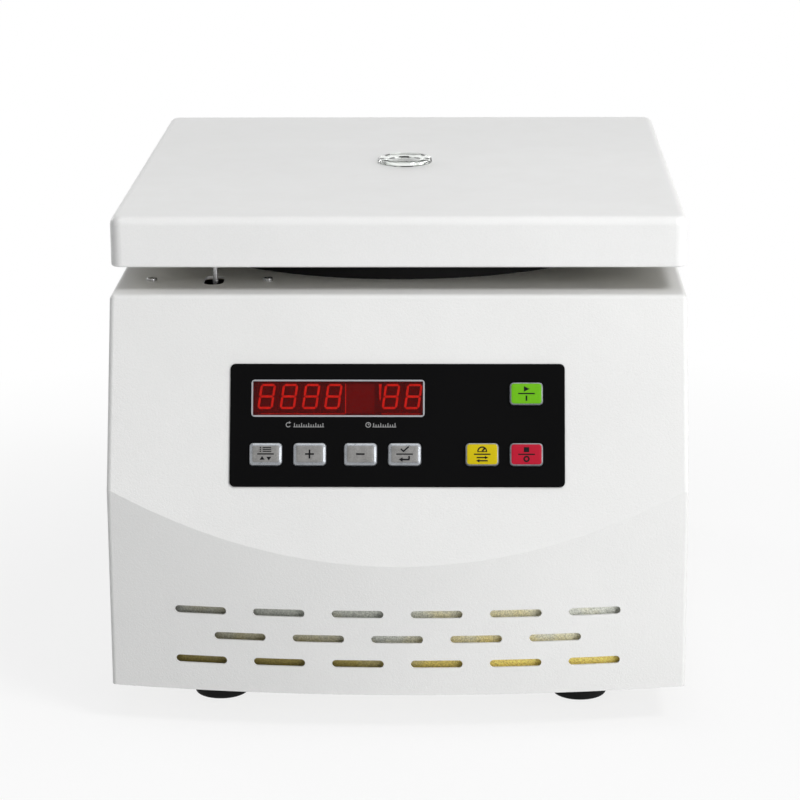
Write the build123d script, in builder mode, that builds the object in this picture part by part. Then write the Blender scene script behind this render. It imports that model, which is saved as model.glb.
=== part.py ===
from build123d import *
import os
from math import cos, radians, sin, sqrt, tan

# Low-speed benchtop centrifuge: a sheet-steel cabinet with a sloping control panel, a hinged
# tray lid with a window in its centre, and a motor-driven angle rotor in a steel bowl.
# Millimetres, +Z up, front towards -Y, origin on the bench under the middle of the machine.

# Cabinet
cabinet_width = 331.0
cabinet_depth = 432.0
foot_height = 22.5
crease_height = 140.5
deck_height = 244.0
slope_angle = 21.8
front_bow = 16.4
sheet = 1.5
fold_radius = 3.0
return_depth = 12.0
fit_gap = 0.3

# Lid
lid_setback = 48.0
lid_rear_inset = 12.1
lid_gap = 14.6
lid_height = 29.5
lid_edge_radius = 5.0
lid_corner_radius = 7.0
lid_rim_radius = 1.2

# Chamber
axis_setback = 225.0
rotor_gap = 18.0
bowl_depth = 105.0
bowl_wall = 1.5
bowl_fillet = 14.0
bowl_flange = 13.0
bowl_floor_hole = 26.0
deck_hole_margin = 4.0
gasket_overhang = 6.0
gasket_round = 3.0
guard_gap = 3.0
guard_wall = 3.0

# Motor and its mounting
motor_plate_gap = 15.0
motor_plate_sheet = 3.0
motor_plate_side_gap = 12.0
motor_plate_margin = 4.5
motor_plate_hole = 21.0
post_radius = 7.0
post_inset = 12.0
motor_flange_radius = 64.0
motor_flange_thickness = 4.0
damper_radius = 8.0
damper_height = 9.0
damper_circle_diameter = 108.0
damper_count = 4
motor_radius = 48.0
motor_clearance = 15.0
motor_neck_radius = 17.0
motor_neck_rise = 4.0
bearing_radius = 13.0
bearing_width = 9.0
core_radius = 30.0
core_end_gap = 5.0
core_gap = 1.0
shaft_radius = 6.0
shaft_passage = 10.0
shaft_play = 0.05
boot_flange = 4.0
boot_rim = 2.5
boot_height = 5.0

# Rotor and tubes
rotor_lift = 10.0
rotor_wall = 7.5
rotor_skirt = 8.0
rotor_rim_width = 4.0
tube_angle = 40.0
tube_count = 12
tube_circle_radius = 60.0
tube_mouth_height = 60.0
tube_radius = 8.4
tube_wall = 1.2
tube_round = 4.0
socket_depth = 62.0
tube_showing = 10.0
cap_height = 11.0
cap_radius = 9.6
cap_top = 4.0
cap_round = 2.0
hub_radius = 24.0
hub_bore = 12.0
socket_rim = 3.5
hub_flange_radius = 18.0
hub_flange = 4.0
rotor_nut_radius = 15.0
rotor_nut_height = 16.0
rotor_nut_roof = 3.0
rotor_nut_grip_count = 12
rotor_nut_grip_radius = 2.0

# Window in the lid
port_radius = 17.0
port_proud = 3.5
port_bore = 13.0
port_plug_radius = 12.4
port_plug_depth = 5.0
port_dish = 9.5
port_dish_depth = 2.0
port_tube_wall = 1.5
port_bevel = 1.2

# Latch pin, lock and hinges
latch_inset = 58.0
latch_setback = 77.9
latch_hole_width = 11.8
latch_hole_length = 24.0
latch_hole_side_shift = -1.1
latch_hole_rear_shift = 2.7
latch_pin_radius = 1.6
latch_collar_radius = 5.0
latch_collar_height = 2.0
latch_head_radius = 3.0
latch_head_height = 4.0
latch_head_bevel = 1.0
latch_reach = 16.0
latch_stud = 5.0
lock_screw_spacing = 68.2
lock_screw_shift = -3.6
lock_bracket_width = 80.0
lock_bracket_rim = 3.0
lock_bracket_gap = 4.0
lock_bolt_thickness = 3.0
lock_bolt_width = 12.0
lock_bolt_length = 9.0
lock_release = 0.5
lock_travel = 5.0
lock_slot_play = 0.4
solenoid_length = 30.0
solenoid_size = 17.0
solenoid_gap = 1.5
plunger_radius = 4.0
plunger_length = 22.0
hinge_side_inset = 55.5
hinge_width = 48.0
hinge_barrel_radius = 4.5
hinge_pin_radius = 2.0
hinge_leaf = 1.8
hinge_leaf_length = 22.0
hinge_screw_spacing = 30.0
hinge_screw_row = 7.0
hinge_pin_head_radius = 3.2
hinge_pin_head = 1.0
screw_head_radius = 3.0
screw_head_height = 1.6
screw_shank_radius = 1.6
screw_length = 5.0
lock_screw_length = 2.8
screw_socket_radius = 1.2
screw_socket_depth = 0.9
screw_play = 0.2

# Control panel, measured along the slope from the level of the crease at the corners
panel_width = 190.5
panel_height = 70.5
panel_middle = 36.4
panel_thickness = 0.8
panel_corner = 3.0
display_width = 98.7
display_height = 21.3
display_x = -33.8
display_v = 51.8
display_border = 0.9
display_corner = 2.0
display_border_proud = 0.3
digit_pitch = 12.7
digit_width = 12.5
digit_body_height = 19.0
digit_starts = (-74.3, -3.3)
digit_counts = (4, 2)
key_width = 18.4
key_height = 12.7
key_corner = 2.0
key_proud = 2.0
key_bevel = 0.7
key_travel = 1.0
key_flange = 1.0
key_flange_thickness = 1.4
key_row = 19.7
key_upper_row = 54.4
key_places = {
    "key_menu": (-74.7, key_row),
    "key_plus": (-49.7, key_row),
    "key_minus": (-20.8, key_row),
    "key_enter": (4.3, key_row),
    "key_mode": (48.3, key_row),
    "key_stop": (73.4, key_row),
    "key_start": (73.4, key_upper_row),
}
board_distance = 8.0
board_thickness = 1.6
board_side_margin = 3.25
board_end_margin = 2.25
board_corner_inset = 4.0
standoff_radius = 3.0
switch_size = 6.0
switch_rest_gap = 0.4
window_flange = 1.5
window_flange_thickness = 1.2
window_fit = 0.15
digit_raise = 1.4
digit_gap = 0.3

# Vent slots in the lower front, and the plated wall behind them
slot_length = 29.5
slot_width = 4.6
slot_pitch = 45.0
slot_row_heights = (48.4, 33.4, 18.6)
slot_counts = (6, 5, 6)
liner_gap = 3.0
liner_height = 66.0
liner_margin = 8.0
liner_sheet = 1.2
liner_flange = 10.0

# Feet
foot_side_inset = 59.1
foot_front_setback = 51.0
foot_rear_inset = 40.0
foot_radius = 16.0
foot_round = 2.0
foot_screw_radius = 2.5
foot_screw_depth = 14.0
foot_screw_head_radius = 5.0
foot_screw_head_height = 3.0
foot_screw_play = 0.3

# Rear fittings
rear_reach = 4.0
fitting_height = 42.0
inlet_side_inset = 65.5
inlet_flange_width = 30.0
inlet_flange_height = 24.0
inlet_flange = 2.5
inlet_body_width = 27.0
inlet_body_height = 20.0
inlet_depth = 24.0
inlet_well_width = 24.2
inlet_well_height = 16.4
inlet_well_depth = 16.0
inlet_pin_length = 14.0
inlet_pin_width = 2.0
inlet_pin_height = 4.0
inlet_pin_spacing = 14.0
inlet_pin_offset = 2.0
rocker_spacing = 38.0
rocker_flange = 1.5
rocker_flange_margin = 2.0
rocker_wall = 2.2
rocker_well_play = 0.6
rocker_well_depth = 6.0
rocker_body_depth = 16.0
rocker_width = 14.0
rocker_height = 19.0
rocker_angle = 12.0
rocker_front = 3.0
rocker_hollow = 1.0
rocker_back = 2.0
rocker_taper = 2.5
rocker_pivot_radius = 1.5
rocker_pivot_reach = 1.2
rocker_pivot_depth = 0.5
fuse_spacing = 26.0
fuse_radius = 6.0
fuse_cap_radius = 7.5
fuse_length = 28.0
fuse_slot_width = 1.6
fuse_slot_depth = 1.0
rear_vent_row_count = 5
rear_vent_side_inset = 80.5
rear_vent_height = 80.0
rear_vent_column_count = 3
rear_vent_pitch = 12.0
rear_vent_column_pitch = 37.0
base_vent_row_count = 3
base_vent_column_count = 3
base_vent_pitch = 48.0
edge_screw_inset = 6.0
edge_screw_margin = 30.0

# Power supply on the base plate
power_board_width = 110.0
power_board_thickness = 1.6
capacitor_radius = 9.0
capacitor_height = 26.0
heat_sink_height = 22.0
heat_sink_thickness = 3.0
power_board_depth = 80.0
power_board_side_inset = 90.5
power_board_lift = 8.0
power_board_corner_inset = 5.0
power_board_rear_inset = 70.6
transformer_width = 66.0
transformer_depth = 52.0
transformer_height = 56.0
transformer_side_inset = 107.5
transformer_gap = 16.0
transformer_foot = 3.0
transformer_coil = 10.0

# Places worked out from the sizes above
half_width = cabinet_width / 2
slope_tan = tan(radians(slope_angle))
slope_cos = cos(radians(slope_angle))
slope_sin = sin(radians(slope_angle))
bow_radius = (half_width**2 + front_bow**2) / (2 * front_bow)
y_bow = -(cabinet_depth + rear_reach) / 2
y_crease = y_bow + front_bow
y_rear = y_bow + cabinet_depth
y_axis = y_crease + axis_setback
y_returns = y_crease + return_depth
z_returns = deck_height - return_depth
deck_under = deck_height - sheet
base_top = foot_height + sheet
foot_x = half_width - foot_side_inset

lid_bottom = deck_height + lid_gap
lid_top = lid_bottom + lid_height
y_lid_front = y_crease + lid_setback
y_lid_back = y_rear - lid_rear_inset
y_lid_middle = (y_lid_front + y_lid_back) / 2
lid_depth = y_lid_back - y_lid_front
liner_under = lid_bottom + fit_gap
liner_top = liner_under + sheet

tube_sin = sin(radians(tube_angle))
tube_cos = cos(radians(tube_angle))
socket_radius = tube_radius + fit_gap
rotor_radius = tube_circle_radius + socket_depth * tube_sin + socket_radius * tube_cos + rotor_wall
bowl_radius = rotor_radius + rotor_gap
deck_hole_radius = bowl_radius + deck_hole_margin
gasket_radius = deck_hole_radius + gasket_overhang
guard_radius = bowl_radius + bowl_wall + guard_gap + guard_wall
gasket_top = liner_under - 1.5 * fit_gap

z_floor = deck_under - bowl_depth
z_flange = deck_under - bowl_wall
z_guard = z_floor - bowl_wall - motor_plate_gap
motor_plate_height = z_guard - motor_plate_sheet
motor_plate_width = cabinet_width - 2 * (sheet + motor_plate_side_gap)
motor_plate_depth = 2 * (guard_radius + motor_plate_margin)
z_motor_flange = motor_plate_height - damper_height - motor_flange_thickness
z_motor = base_top + motor_clearance
z_core = z_motor + 2 * bearing_width
core_length = z_motor_flange - z_core - 2 * core_end_gap
z_neck = z_floor + motor_neck_rise

z_rotor = z_floor + rotor_lift
hub_height = tube_mouth_height - (tube_circle_radius - hub_radius) * tube_sin / tube_cos
z_hub = z_rotor + hub_height
rim_reach = socket_radius + socket_rim
rim_radius = tube_circle_radius + rim_reach * tube_cos
rim_height = tube_mouth_height + rim_reach * tube_sin
tube_length = socket_depth + tube_showing

latch_x = latch_inset - half_width
lock_slot_depth = lock_travel - lock_release
y_latch = y_crease + latch_setback
z_latch_head = deck_height - latch_reach
z_bolt = z_latch_head + latch_head_height + fit_gap + lock_bolt_thickness / 2
x_bolt = latch_x + latch_head_radius + lock_release
x_solenoid = x_bolt + lock_bolt_length + solenoid_gap
z_bracket = deck_under - sheet
y_hinge = y_lid_back + hinge_barrel_radius
z_hinge = deck_height + hinge_barrel_radius + fit_gap
knuckle = (hinge_width - 2 * fit_gap) / 3
y_leaf = y_hinge - hinge_barrel_radius - fit_gap
z_leaf = z_hinge + hinge_barrel_radius + fit_gap

window_width = display_width - 2 * display_border
window_height = display_height - 2 * display_border
board_width = panel_width - 2 * board_side_margin
board_height = panel_height - 2 * board_end_margin
board_front = -(sheet + board_distance)
key_back = -(sheet + key_flange_thickness)
z_fittings = foot_height + fitting_height
inlet_x = half_width - inlet_side_inset
rocker_x = inlet_x - rocker_spacing
fuse_x = rocker_x - fuse_spacing
rear_vent_x = rear_vent_side_inset - half_width
rocker_body_width = rocker_width + 2 * (fit_gap + rocker_wall)
rocker_body_height = rocker_height + 2 * (rocker_well_play + rocker_wall)
y_rocker = y_rear - rocker_pivot_depth

power_board_x = power_board_side_inset - half_width
y_power_board = y_rear - power_board_rear_inset
transformer_x = half_width - transformer_side_inset
y_transformer = y_axis + motor_radius + transformer_gap + transformer_depth / 2

hinge_rows = (hinge_side_inset - half_width, half_width - hinge_side_inset)
foot_places = [
    (x, y) for x in (-foot_x, foot_x) for y in (y_crease + foot_front_setback, y_rear - foot_rear_inset)
]
x_latch_hole = latch_x + latch_hole_side_shift
y_latch_hole = y_latch + latch_hole_rear_shift
x_bracket = latch_x + lock_screw_shift
lock_bracket_depth = latch_hole_length + 2 * (lock_bracket_gap + lock_bracket_rim)
lock_screw_places = [
    (x_bracket + side * lock_screw_spacing / 2, y_latch_hole, deck_height) for side in (-1, 1)
]
deck_screw_places = [
    (x + side * hinge_screw_spacing / 2, y_leaf - hinge_leaf_length + hinge_screw_row, deck_height)
    for x in hinge_rows
    for side in (-1, 1)
]
lid_screw_places = [
    (x + side * hinge_screw_spacing / 2, y_lid_back, z_leaf + hinge_leaf_length - hinge_screw_row)
    for x in hinge_rows
    for side in (-1, 1)
]
edge_screw_x = half_width - sheet - edge_screw_inset
base_screw_places = [
    (x, y, foot_height)
    for x in (-edge_screw_x, edge_screw_x)
    for y in (y_returns + edge_screw_margin, y_axis, y_rear - edge_screw_margin)
]
rear_screw_places = [
    (x, y_rear, z)
    for x in (-edge_screw_x, edge_screw_x)
    for z in (base_top + edge_screw_margin, z_returns - edge_screw_margin)
]
board_corners = [
    (x, panel_middle + y)
    for x in (board_corner_inset - board_width / 2, board_width / 2 - board_corner_inset)
    for y in (board_corner_inset - board_height / 2, board_height / 2 - board_corner_inset)
]
slope_plane = Plane(
    origin=(0, y_crease, crease_height), x_dir=(1, 0, 0), z_dir=(0, -slope_cos, slope_sin)
)
rear_plane = Plane(origin=(0, y_rear, 0), x_dir=(-1, 0, 0), z_dir=(0, 1, 0))
axis_plane = Plane(origin=(0, y_axis, 0), x_dir=(1, 0, 0), z_dir=(0, -1, 0))
spin_axis = Axis((0, y_axis, 0), (0, 0, 1))
slope_axis = Axis(slope_plane.origin, slope_plane.z_dir)

os.makedirs("parts", exist_ok=True)


def save(piece, name):
    """Labels a finished piece and writes it under the same name."""
    piece.part.label = name
    export_step(piece.part, f"parts/{name}.step")


def side_profile(setback, back, low, top):
    """Side outline of the cabinet behind its front, which is set back by setback."""
    shift = setback / slope_cos
    y_front = y_crease + setback
    z_front = crease_height + (setback - shift) / slope_tan
    y_top = y_crease + (top - crease_height) * slope_tan + shift
    Polyline((y_front, low), (y_front, z_front), (y_top, top), (back, top), (back, low), close=True)


def cabinet_block(inset, radius):
    """The cabinet as a closed block, with every face set in by inset and its folds rounded."""
    low = foot_height + inset
    top = deck_height - inset
    back = y_rear - inset
    side = half_width - inset
    shift = inset / slope_cos
    ahead = y_bow - front_bow
    z_ahead = crease_height + (ahead - y_crease - shift) / slope_tan
    y_top = y_crease + (top - crease_height) * slope_tan + shift
    y_side = y_bow + bow_radius - sqrt((bow_radius - inset) ** 2 - side**2)
    with BuildPart() as block:
        with BuildSketch(Plane.YZ):
            with BuildLine():
                Polyline((ahead, low), (ahead, z_ahead), (y_top, top), (back, top), (back, low), close=True)
            make_face()
        extrude(amount=side, both=True)
        with BuildSketch(Plane.XY.offset(low)):
            with BuildLine():
                ThreePointArc((-side, y_side), (0, y_bow + inset), (side, y_side))
                Polyline((side, y_side), (side, back), (-side, back), (-side, y_side))
            make_face()
        extrude(amount=top - low, mode=Mode.INTERSECT)
        near = sheet / 2
        rims = block.edges().filter_by(lambda e: e.center().Z > low + near and e.center().Y < back - near)
        corners = rims.filter_by(lambda e: abs(abs(e.center().X) - side) < near)
        front_fold = rims.filter_by(Axis.X).filter_by_position(Axis.Z, top - near, top + near)
        front_fold = front_fold.filter_by_position(Axis.Y, y_top - near, y_top + near)
        fillet(corners + front_fold, radius)
    return block.part


def pan_screw(place, turn, length):
    """A socket screw whose head sits on place, with its shank pointing down before it is turned."""
    with BuildPart() as screw:
        Cylinder(screw_head_radius, screw_head_height, align=(Align.CENTER, Align.CENTER, Align.MIN))
        fillet(screw.edges().group_by(Axis.Z)[-1], screw_head_height / 3)
        Cylinder(screw_shank_radius, length, align=(Align.CENTER, Align.CENTER, Align.MAX))
        with BuildSketch(Plane.XY.offset(screw_head_height)):
            RegularPolygon(screw_socket_radius, 6)
        extrude(amount=-screw_socket_depth, mode=Mode.SUBTRACT)
    return screw.part.moved(Location(place, (turn, 0, 0)))


def screw_group(places, turn, name, length=screw_length):
    """Identical screws in one piece, each on its own place."""
    with BuildPart() as screws:
        add([pan_screw(place, turn, length) for place in places])
    save(screws, name)


outer_block = cabinet_block(0, fold_radius)
inner_block = cabinet_block(sheet, fold_radius - sheet)
with BuildPart() as rear_zone:
    with BuildSketch(Plane.YZ):
        with BuildLine():
            side_profile(return_depth, y_rear + sheet, foot_height - sheet, z_returns)
        make_face()
    extrude(amount=cabinet_width, both=True)

# Cover: the front, the sloping panel and the deck, bent from one sheet with short returns
with BuildPart() as cabinet_cover:
    add(outer_block)
    add(inner_block, mode=Mode.SUBTRACT)
    add(rear_zone.part, mode=Mode.SUBTRACT)
    with Locations((0, y_axis, deck_height)):
        Cylinder(deck_hole_radius, 4 * sheet, mode=Mode.SUBTRACT)
    with Locations(*lock_screw_places, *deck_screw_places):
        Cylinder(screw_shank_radius + screw_play, 4 * sheet, mode=Mode.SUBTRACT)
    with BuildSketch(Plane.XY.offset(deck_height - 2 * sheet)):
        with Locations((x_latch_hole, y_latch_hole)):
            SlotOverall(latch_hole_length, latch_hole_width, rotation=90)
    extrude(amount=3 * sheet, mode=Mode.SUBTRACT)
    with BuildSketch(slope_plane.offset(sheet)):
        with Locations(*key_places.values()):
            Rectangle(key_width + 2 * fit_gap, key_height + 2 * fit_gap)
        with Locations((display_x, display_v)):
            Rectangle(window_width, window_height)
    extrude(amount=-3 * sheet, mode=Mode.SUBTRACT)
    with BuildSketch(Plane.XZ.offset(sheet - y_bow)):
        for rise, count in zip(slot_row_heights, slot_counts):
            with Locations((0, foot_height + rise)):
                with GridLocations(slot_pitch, slot_pitch, count, 1):
                    SlotOverall(slot_length, slot_width)
    extrude(amount=-(front_bow + return_depth), mode=Mode.SUBTRACT)
save(cabinet_cover, "cabinet_cover")

# Side panels, each with a flange along its foot and one along its rear edge
with BuildPart() as side_plate:
    with BuildSketch(Plane.YZ.offset(half_width - sheet)):
        with BuildLine():
            side_profile(return_depth, y_rear, foot_height, z_returns)
        make_face()
    extrude(amount=sheet)
    with Locations((half_width - sheet, y_returns + return_depth, base_top)):
        Box(
            return_depth, y_rear - y_returns - 2 * return_depth, sheet,
            align=(Align.MAX, Align.MIN, Align.MIN),
        )
    with Locations((half_width - sheet, y_rear - sheet, base_top)):
        Box(return_depth, sheet, z_returns - base_top, align=(Align.MAX, Align.MAX, Align.MIN))
    with Locations(*base_screw_places):
        Cylinder(screw_shank_radius + screw_play, 8 * sheet, mode=Mode.SUBTRACT)
    with Locations(*rear_screw_places):
        Cylinder(screw_shank_radius + screw_play, 8 * sheet, rotation=(90, 0, 0), mode=Mode.SUBTRACT)

with BuildPart() as side_panel_right:
    add(side_plate.part)
save(side_panel_right, "side_panel_right")

with BuildPart() as side_panel_left:
    mirror(side_plate.part, about=Plane.YZ)
save(side_panel_left, "side_panel_left")

# Rear panel with its vents and the cut-outs for the mains fittings
with BuildPart() as rear_panel:
    with Locations((0, y_rear, foot_height)):
        Box(
            cabinet_width - 2 * sheet, sheet, z_returns - foot_height,
            align=(Align.CENTER, Align.MAX, Align.MIN),
        )
    with BuildSketch(rear_plane.offset(sheet)):
        with Locations((-rear_vent_x, foot_height + rear_vent_height)):
            with GridLocations(
                rear_vent_column_pitch, rear_vent_pitch, rear_vent_column_count, rear_vent_row_count
            ):
                SlotOverall(slot_length, slot_width)
        with Locations((-inlet_x, z_fittings)):
            Rectangle(inlet_body_width + 2 * fit_gap, inlet_body_height + 2 * fit_gap)
        with Locations((-rocker_x, z_fittings)):
            Rectangle(rocker_body_width + 2 * fit_gap, rocker_body_height + 2 * fit_gap)
        with Locations((-fuse_x, z_fittings)):
            Circle(fuse_radius + fit_gap)
        with Locations(*[(-x, z) for x, y, z in rear_screw_places]):
            Circle(screw_shank_radius + screw_play)
    extrude(amount=-3 * sheet, mode=Mode.SUBTRACT)
save(rear_panel, "rear_panel")

# Base plate with rows of vents and the holes for feet and screws
with BuildPart() as base_plate:
    with Locations((0, y_returns, foot_height)):
        Box(
            cabinet_width - 2 * sheet, y_rear - sheet - y_returns, sheet,
            align=(Align.CENTER, Align.MIN, Align.MIN),
        )
    with BuildSketch(Plane.XY.offset(foot_height - sheet)):
        with Locations((0, y_axis)):
            with GridLocations(slot_pitch, base_vent_pitch, base_vent_column_count, base_vent_row_count):
                SlotOverall(slot_length, slot_width)
        with Locations(*foot_places):
            Circle(foot_screw_radius + screw_play)
        with Locations(*[(x, y) for x, y, z in base_screw_places]):
            Circle(screw_shank_radius + screw_play)
    extrude(amount=3 * sheet, mode=Mode.SUBTRACT)
save(base_plate, "base_plate")

# Plated wall that shows behind the front slots and follows the bow, with a foot to the rear
liner_radius = bow_radius - sheet - liner_gap
liner_reach = half_width - sheet - liner_margin


def liner_outline(depth):
    """A strip of the given depth behind the bow, ending square to the sides."""
    y_middle = y_bow + bow_radius
    y_end = y_middle - sqrt(liner_radius**2 - liner_reach**2)
    ThreePointArc((-liner_reach, y_end), (0, y_middle - liner_radius), (liner_reach, y_end))
    Line((liner_reach, y_end), (liner_reach, y_end + depth))
    ThreePointArc(
        (liner_reach, y_end + depth), (0, y_middle - liner_radius + depth), (-liner_reach, y_end + depth)
    )
    Line((-liner_reach, y_end + depth), (-liner_reach, y_end))


with BuildPart() as front_liner:
    for depth, height in ((liner_sheet, liner_height), (liner_flange, liner_sheet)):
        with BuildSketch(Plane.XY.offset(base_top)):
            with BuildLine():
                liner_outline(depth)
            make_face()
        extrude(amount=height)
save(front_liner, "front_liner")

# Four round rubber feet and the screws that hold them
with BuildPart() as feet:
    with Locations(*foot_places):
        Cylinder(foot_radius, foot_height, align=(Align.CENTER, Align.CENTER, Align.MIN))
    fillet(feet.edges().group_by(Axis.Z)[0], foot_round)
    with Locations(*[(x, y, foot_height) for x, y in foot_places]):
        Cylinder(
            foot_screw_radius, foot_screw_depth, align=(Align.CENTER, Align.CENTER, Align.MAX),
            mode=Mode.SUBTRACT,
        )
save(feet, "feet")

with BuildPart() as foot_screws:
    with Locations(*[(x, y, base_top) for x, y in foot_places]):
        Cylinder(
            foot_screw_radius, foot_screw_depth + sheet - foot_screw_play,
            align=(Align.CENTER, Align.CENTER, Align.MAX),
        )
        Cylinder(
            foot_screw_head_radius, foot_screw_head_height, align=(Align.CENTER, Align.CENTER, Align.MIN)
        )
save(foot_screws, "foot_screws")

screw_group(base_screw_places, 180, "base_screws")
screw_group(rear_screw_places, -90, "rear_screws")

# Motor plate on its four posts
with BuildPart() as motor_plate:
    with Locations((0, y_axis, motor_plate_height)):
        Box(
            motor_plate_width, motor_plate_depth, motor_plate_sheet,
            align=(Align.CENTER, Align.CENTER, Align.MIN),
        )
        Cylinder(motor_plate_hole, 4 * motor_plate_sheet, mode=Mode.SUBTRACT)
save(motor_plate, "motor_plate")

with BuildPart() as support_posts:
    with Locations((0, y_axis, base_top)):
        with GridLocations(motor_plate_width - 2 * post_inset, motor_plate_depth - 2 * post_inset, 2, 2):
            Cylinder(
                post_radius, motor_plate_height - base_top, align=(Align.CENTER, Align.CENTER, Align.MIN)
            )
save(support_posts, "support_posts")

# Steel guard ring that stands on the motor plate and carries the bowl's flange
with BuildPart() as guard_ring:
    with BuildSketch(Plane.XY.offset(z_guard)):
        with Locations((0, y_axis)):
            Circle(guard_radius)
            Circle(guard_radius - guard_wall, mode=Mode.SUBTRACT)
    extrude(amount=z_flange - z_guard)
save(guard_ring, "guard_ring")

# Spun bowl, a flange at its top and a hole for the drive in its floor
with BuildPart() as chamber_bowl:
    with BuildSketch(axis_plane) as bowl_section:
        with BuildLine():
            Polyline(
                (bowl_floor_hole, z_floor - bowl_wall),
                (bowl_radius + bowl_wall, z_floor - bowl_wall),
                (bowl_radius + bowl_wall, z_flange),
                (bowl_radius + bowl_flange, z_flange),
                (bowl_radius + bowl_flange, deck_under),
                (bowl_radius, deck_under),
                (bowl_radius, z_floor),
                (bowl_floor_hole, z_floor),
                close=True,
            )
        make_face()
        corner = bowl_section.vertices().sort_by_distance((bowl_radius, z_floor))[0]
        fillet(corner, bowl_fillet)
        corner = bowl_section.vertices().sort_by_distance((bowl_radius + bowl_wall, z_floor - bowl_wall))[0]
        fillet(corner, bowl_fillet + bowl_wall)
    revolve(axis=spin_axis)
save(chamber_bowl, "chamber_bowl")

# Rubber gasket clipped over the edge of the deck's opening
with BuildPart() as chamber_gasket:
    with BuildSketch(axis_plane) as gasket_section:
        with BuildLine():
            Polyline(
                (bowl_radius + fit_gap, deck_under + fit_gap),
                (deck_hole_radius - fit_gap, deck_under + fit_gap),
                (deck_hole_radius - fit_gap, deck_height),
                (gasket_radius, deck_height),
                (gasket_radius, gasket_top),
                (bowl_radius + fit_gap, gasket_top),
                close=True,
            )
        make_face()
        fillet(gasket_section.vertices().group_by(Axis.Y)[-1], gasket_round)
    revolve(axis=spin_axis)
save(chamber_gasket, "chamber_gasket")

# Rubber boot that closes the bowl's floor round the motor's neck
with BuildPart() as shaft_boot:
    with BuildSketch(axis_plane):
        with BuildLine():
            Polyline(
                (motor_neck_radius + fit_gap, z_floor - bowl_wall),
                (bowl_floor_hole - fit_gap, z_floor - bowl_wall),
                (bowl_floor_hole - fit_gap, z_floor),
                (bowl_floor_hole + boot_flange, z_floor),
                (bowl_floor_hole + boot_flange, z_floor + boot_rim),
                (motor_neck_radius + boot_flange, z_floor + boot_height),
                (motor_neck_radius + fit_gap, z_floor + boot_height),
                close=True,
            )
        make_face()
    revolve(axis=spin_axis)
save(shaft_boot, "shaft_boot")

# Motor: its housing hangs from the plate on rubber dampers
with BuildPart() as motor_housing:
    with BuildSketch(axis_plane):
        with BuildLine():
            Polyline(
                (bearing_radius, z_motor),
                (motor_radius, z_motor),
                (motor_radius, z_motor_flange),
                (motor_flange_radius, z_motor_flange),
                (motor_flange_radius, z_motor_flange + motor_flange_thickness),
                (motor_neck_radius, z_motor_flange + motor_flange_thickness),
                (motor_neck_radius, z_neck),
                (bearing_radius, z_neck),
                (bearing_radius, z_neck - bearing_width),
                (shaft_passage, z_neck - bearing_width),
                (shaft_passage, z_motor_flange),
                (core_radius + core_gap, z_motor_flange),
                (core_radius + core_gap, z_core),
                (shaft_passage, z_core),
                (shaft_passage, z_motor + bearing_width),
                (bearing_radius, z_motor + bearing_width),
                close=True,
            )
        make_face()
    revolve(axis=spin_axis)
save(motor_housing, "motor_housing")

with BuildPart() as motor_dampers:
    with Locations((0, y_axis, motor_plate_height)):
        with PolarLocations(damper_circle_diameter / 2, damper_count, start_angle=180 / damper_count):
            Cylinder(damper_radius, damper_height, align=(Align.CENTER, Align.CENTER, Align.MAX))
save(motor_dampers, "motor_dampers")

with BuildPart() as motor_bearings:
    for z in (z_neck, z_motor + bearing_width):
        with Locations((0, y_axis, z)):
            Cylinder(bearing_radius, bearing_width, align=(Align.CENTER, Align.CENTER, Align.MAX))
            Cylinder(
                shaft_radius + shaft_play, bearing_width, align=(Align.CENTER, Align.CENTER, Align.MAX),
                mode=Mode.SUBTRACT,
            )
save(motor_bearings, "motor_bearings")

# Shaft with the motor's core pressed on it, up to the stud that takes the rotor nut
with BuildPart() as motor_shaft:
    with Locations((0, y_axis, z_motor)):
        Cylinder(
            shaft_radius, z_hub + rotor_nut_height - rotor_nut_roof - fit_gap - z_motor,
            align=(Align.CENTER, Align.CENTER, Align.MIN),
        )
    with Locations((0, y_axis, (z_core + z_motor_flange) / 2)):
        Cylinder(core_radius, core_length)
save(motor_shaft, "motor_shaft")

with BuildPart() as drive_hub:
    with Locations((0, y_axis, z_rotor)):
        Cylinder(hub_flange_radius, hub_flange, align=(Align.CENTER, Align.CENTER, Align.MAX))
        Cylinder(hub_bore - shaft_play, hub_height, align=(Align.CENTER, Align.CENTER, Align.MIN))
        Cylinder(shaft_radius + shaft_play, 4 * hub_height, mode=Mode.SUBTRACT)
save(drive_hub, "drive_hub")


def socket_place(index):
    """The bottom of a tube socket, with Z along the tube towards its mouth."""
    turn = radians(360 / tube_count * index)
    reach = tube_circle_radius + socket_depth * tube_sin
    z_bottom = z_rotor + tube_mouth_height - socket_depth * tube_cos
    return Plane(
        origin=(reach * cos(turn), y_axis + reach * sin(turn), z_bottom),
        z_dir=(-tube_sin * cos(turn), -tube_sin * sin(turn), tube_cos),
    ).location


socket_places = [socket_place(index) for index in range(tube_count)]

# Angle rotor: a dished cone with a ring of slanting sockets
with BuildPart() as rotor:
    with BuildSketch(axis_plane):
        with BuildLine():
            Polyline(
                (hub_bore, z_rotor),
                (rotor_radius - rotor_skirt, z_rotor),
                (rotor_radius, z_rotor + rotor_skirt),
                (rotor_radius, z_rotor + 2 * rotor_skirt),
                (rim_radius + rotor_rim_width, z_rotor + rim_height),
                (rim_radius, z_rotor + rim_height),
                (hub_radius, z_hub),
                (hub_bore, z_hub),
                close=True,
            )
        make_face()
    revolve(axis=spin_axis)
    with Locations(*socket_places):
        Cylinder(
            socket_radius, 2 * tube_length, align=(Align.CENTER, Align.CENTER, Align.MIN), mode=Mode.SUBTRACT
        )
save(rotor, "rotor")

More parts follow.
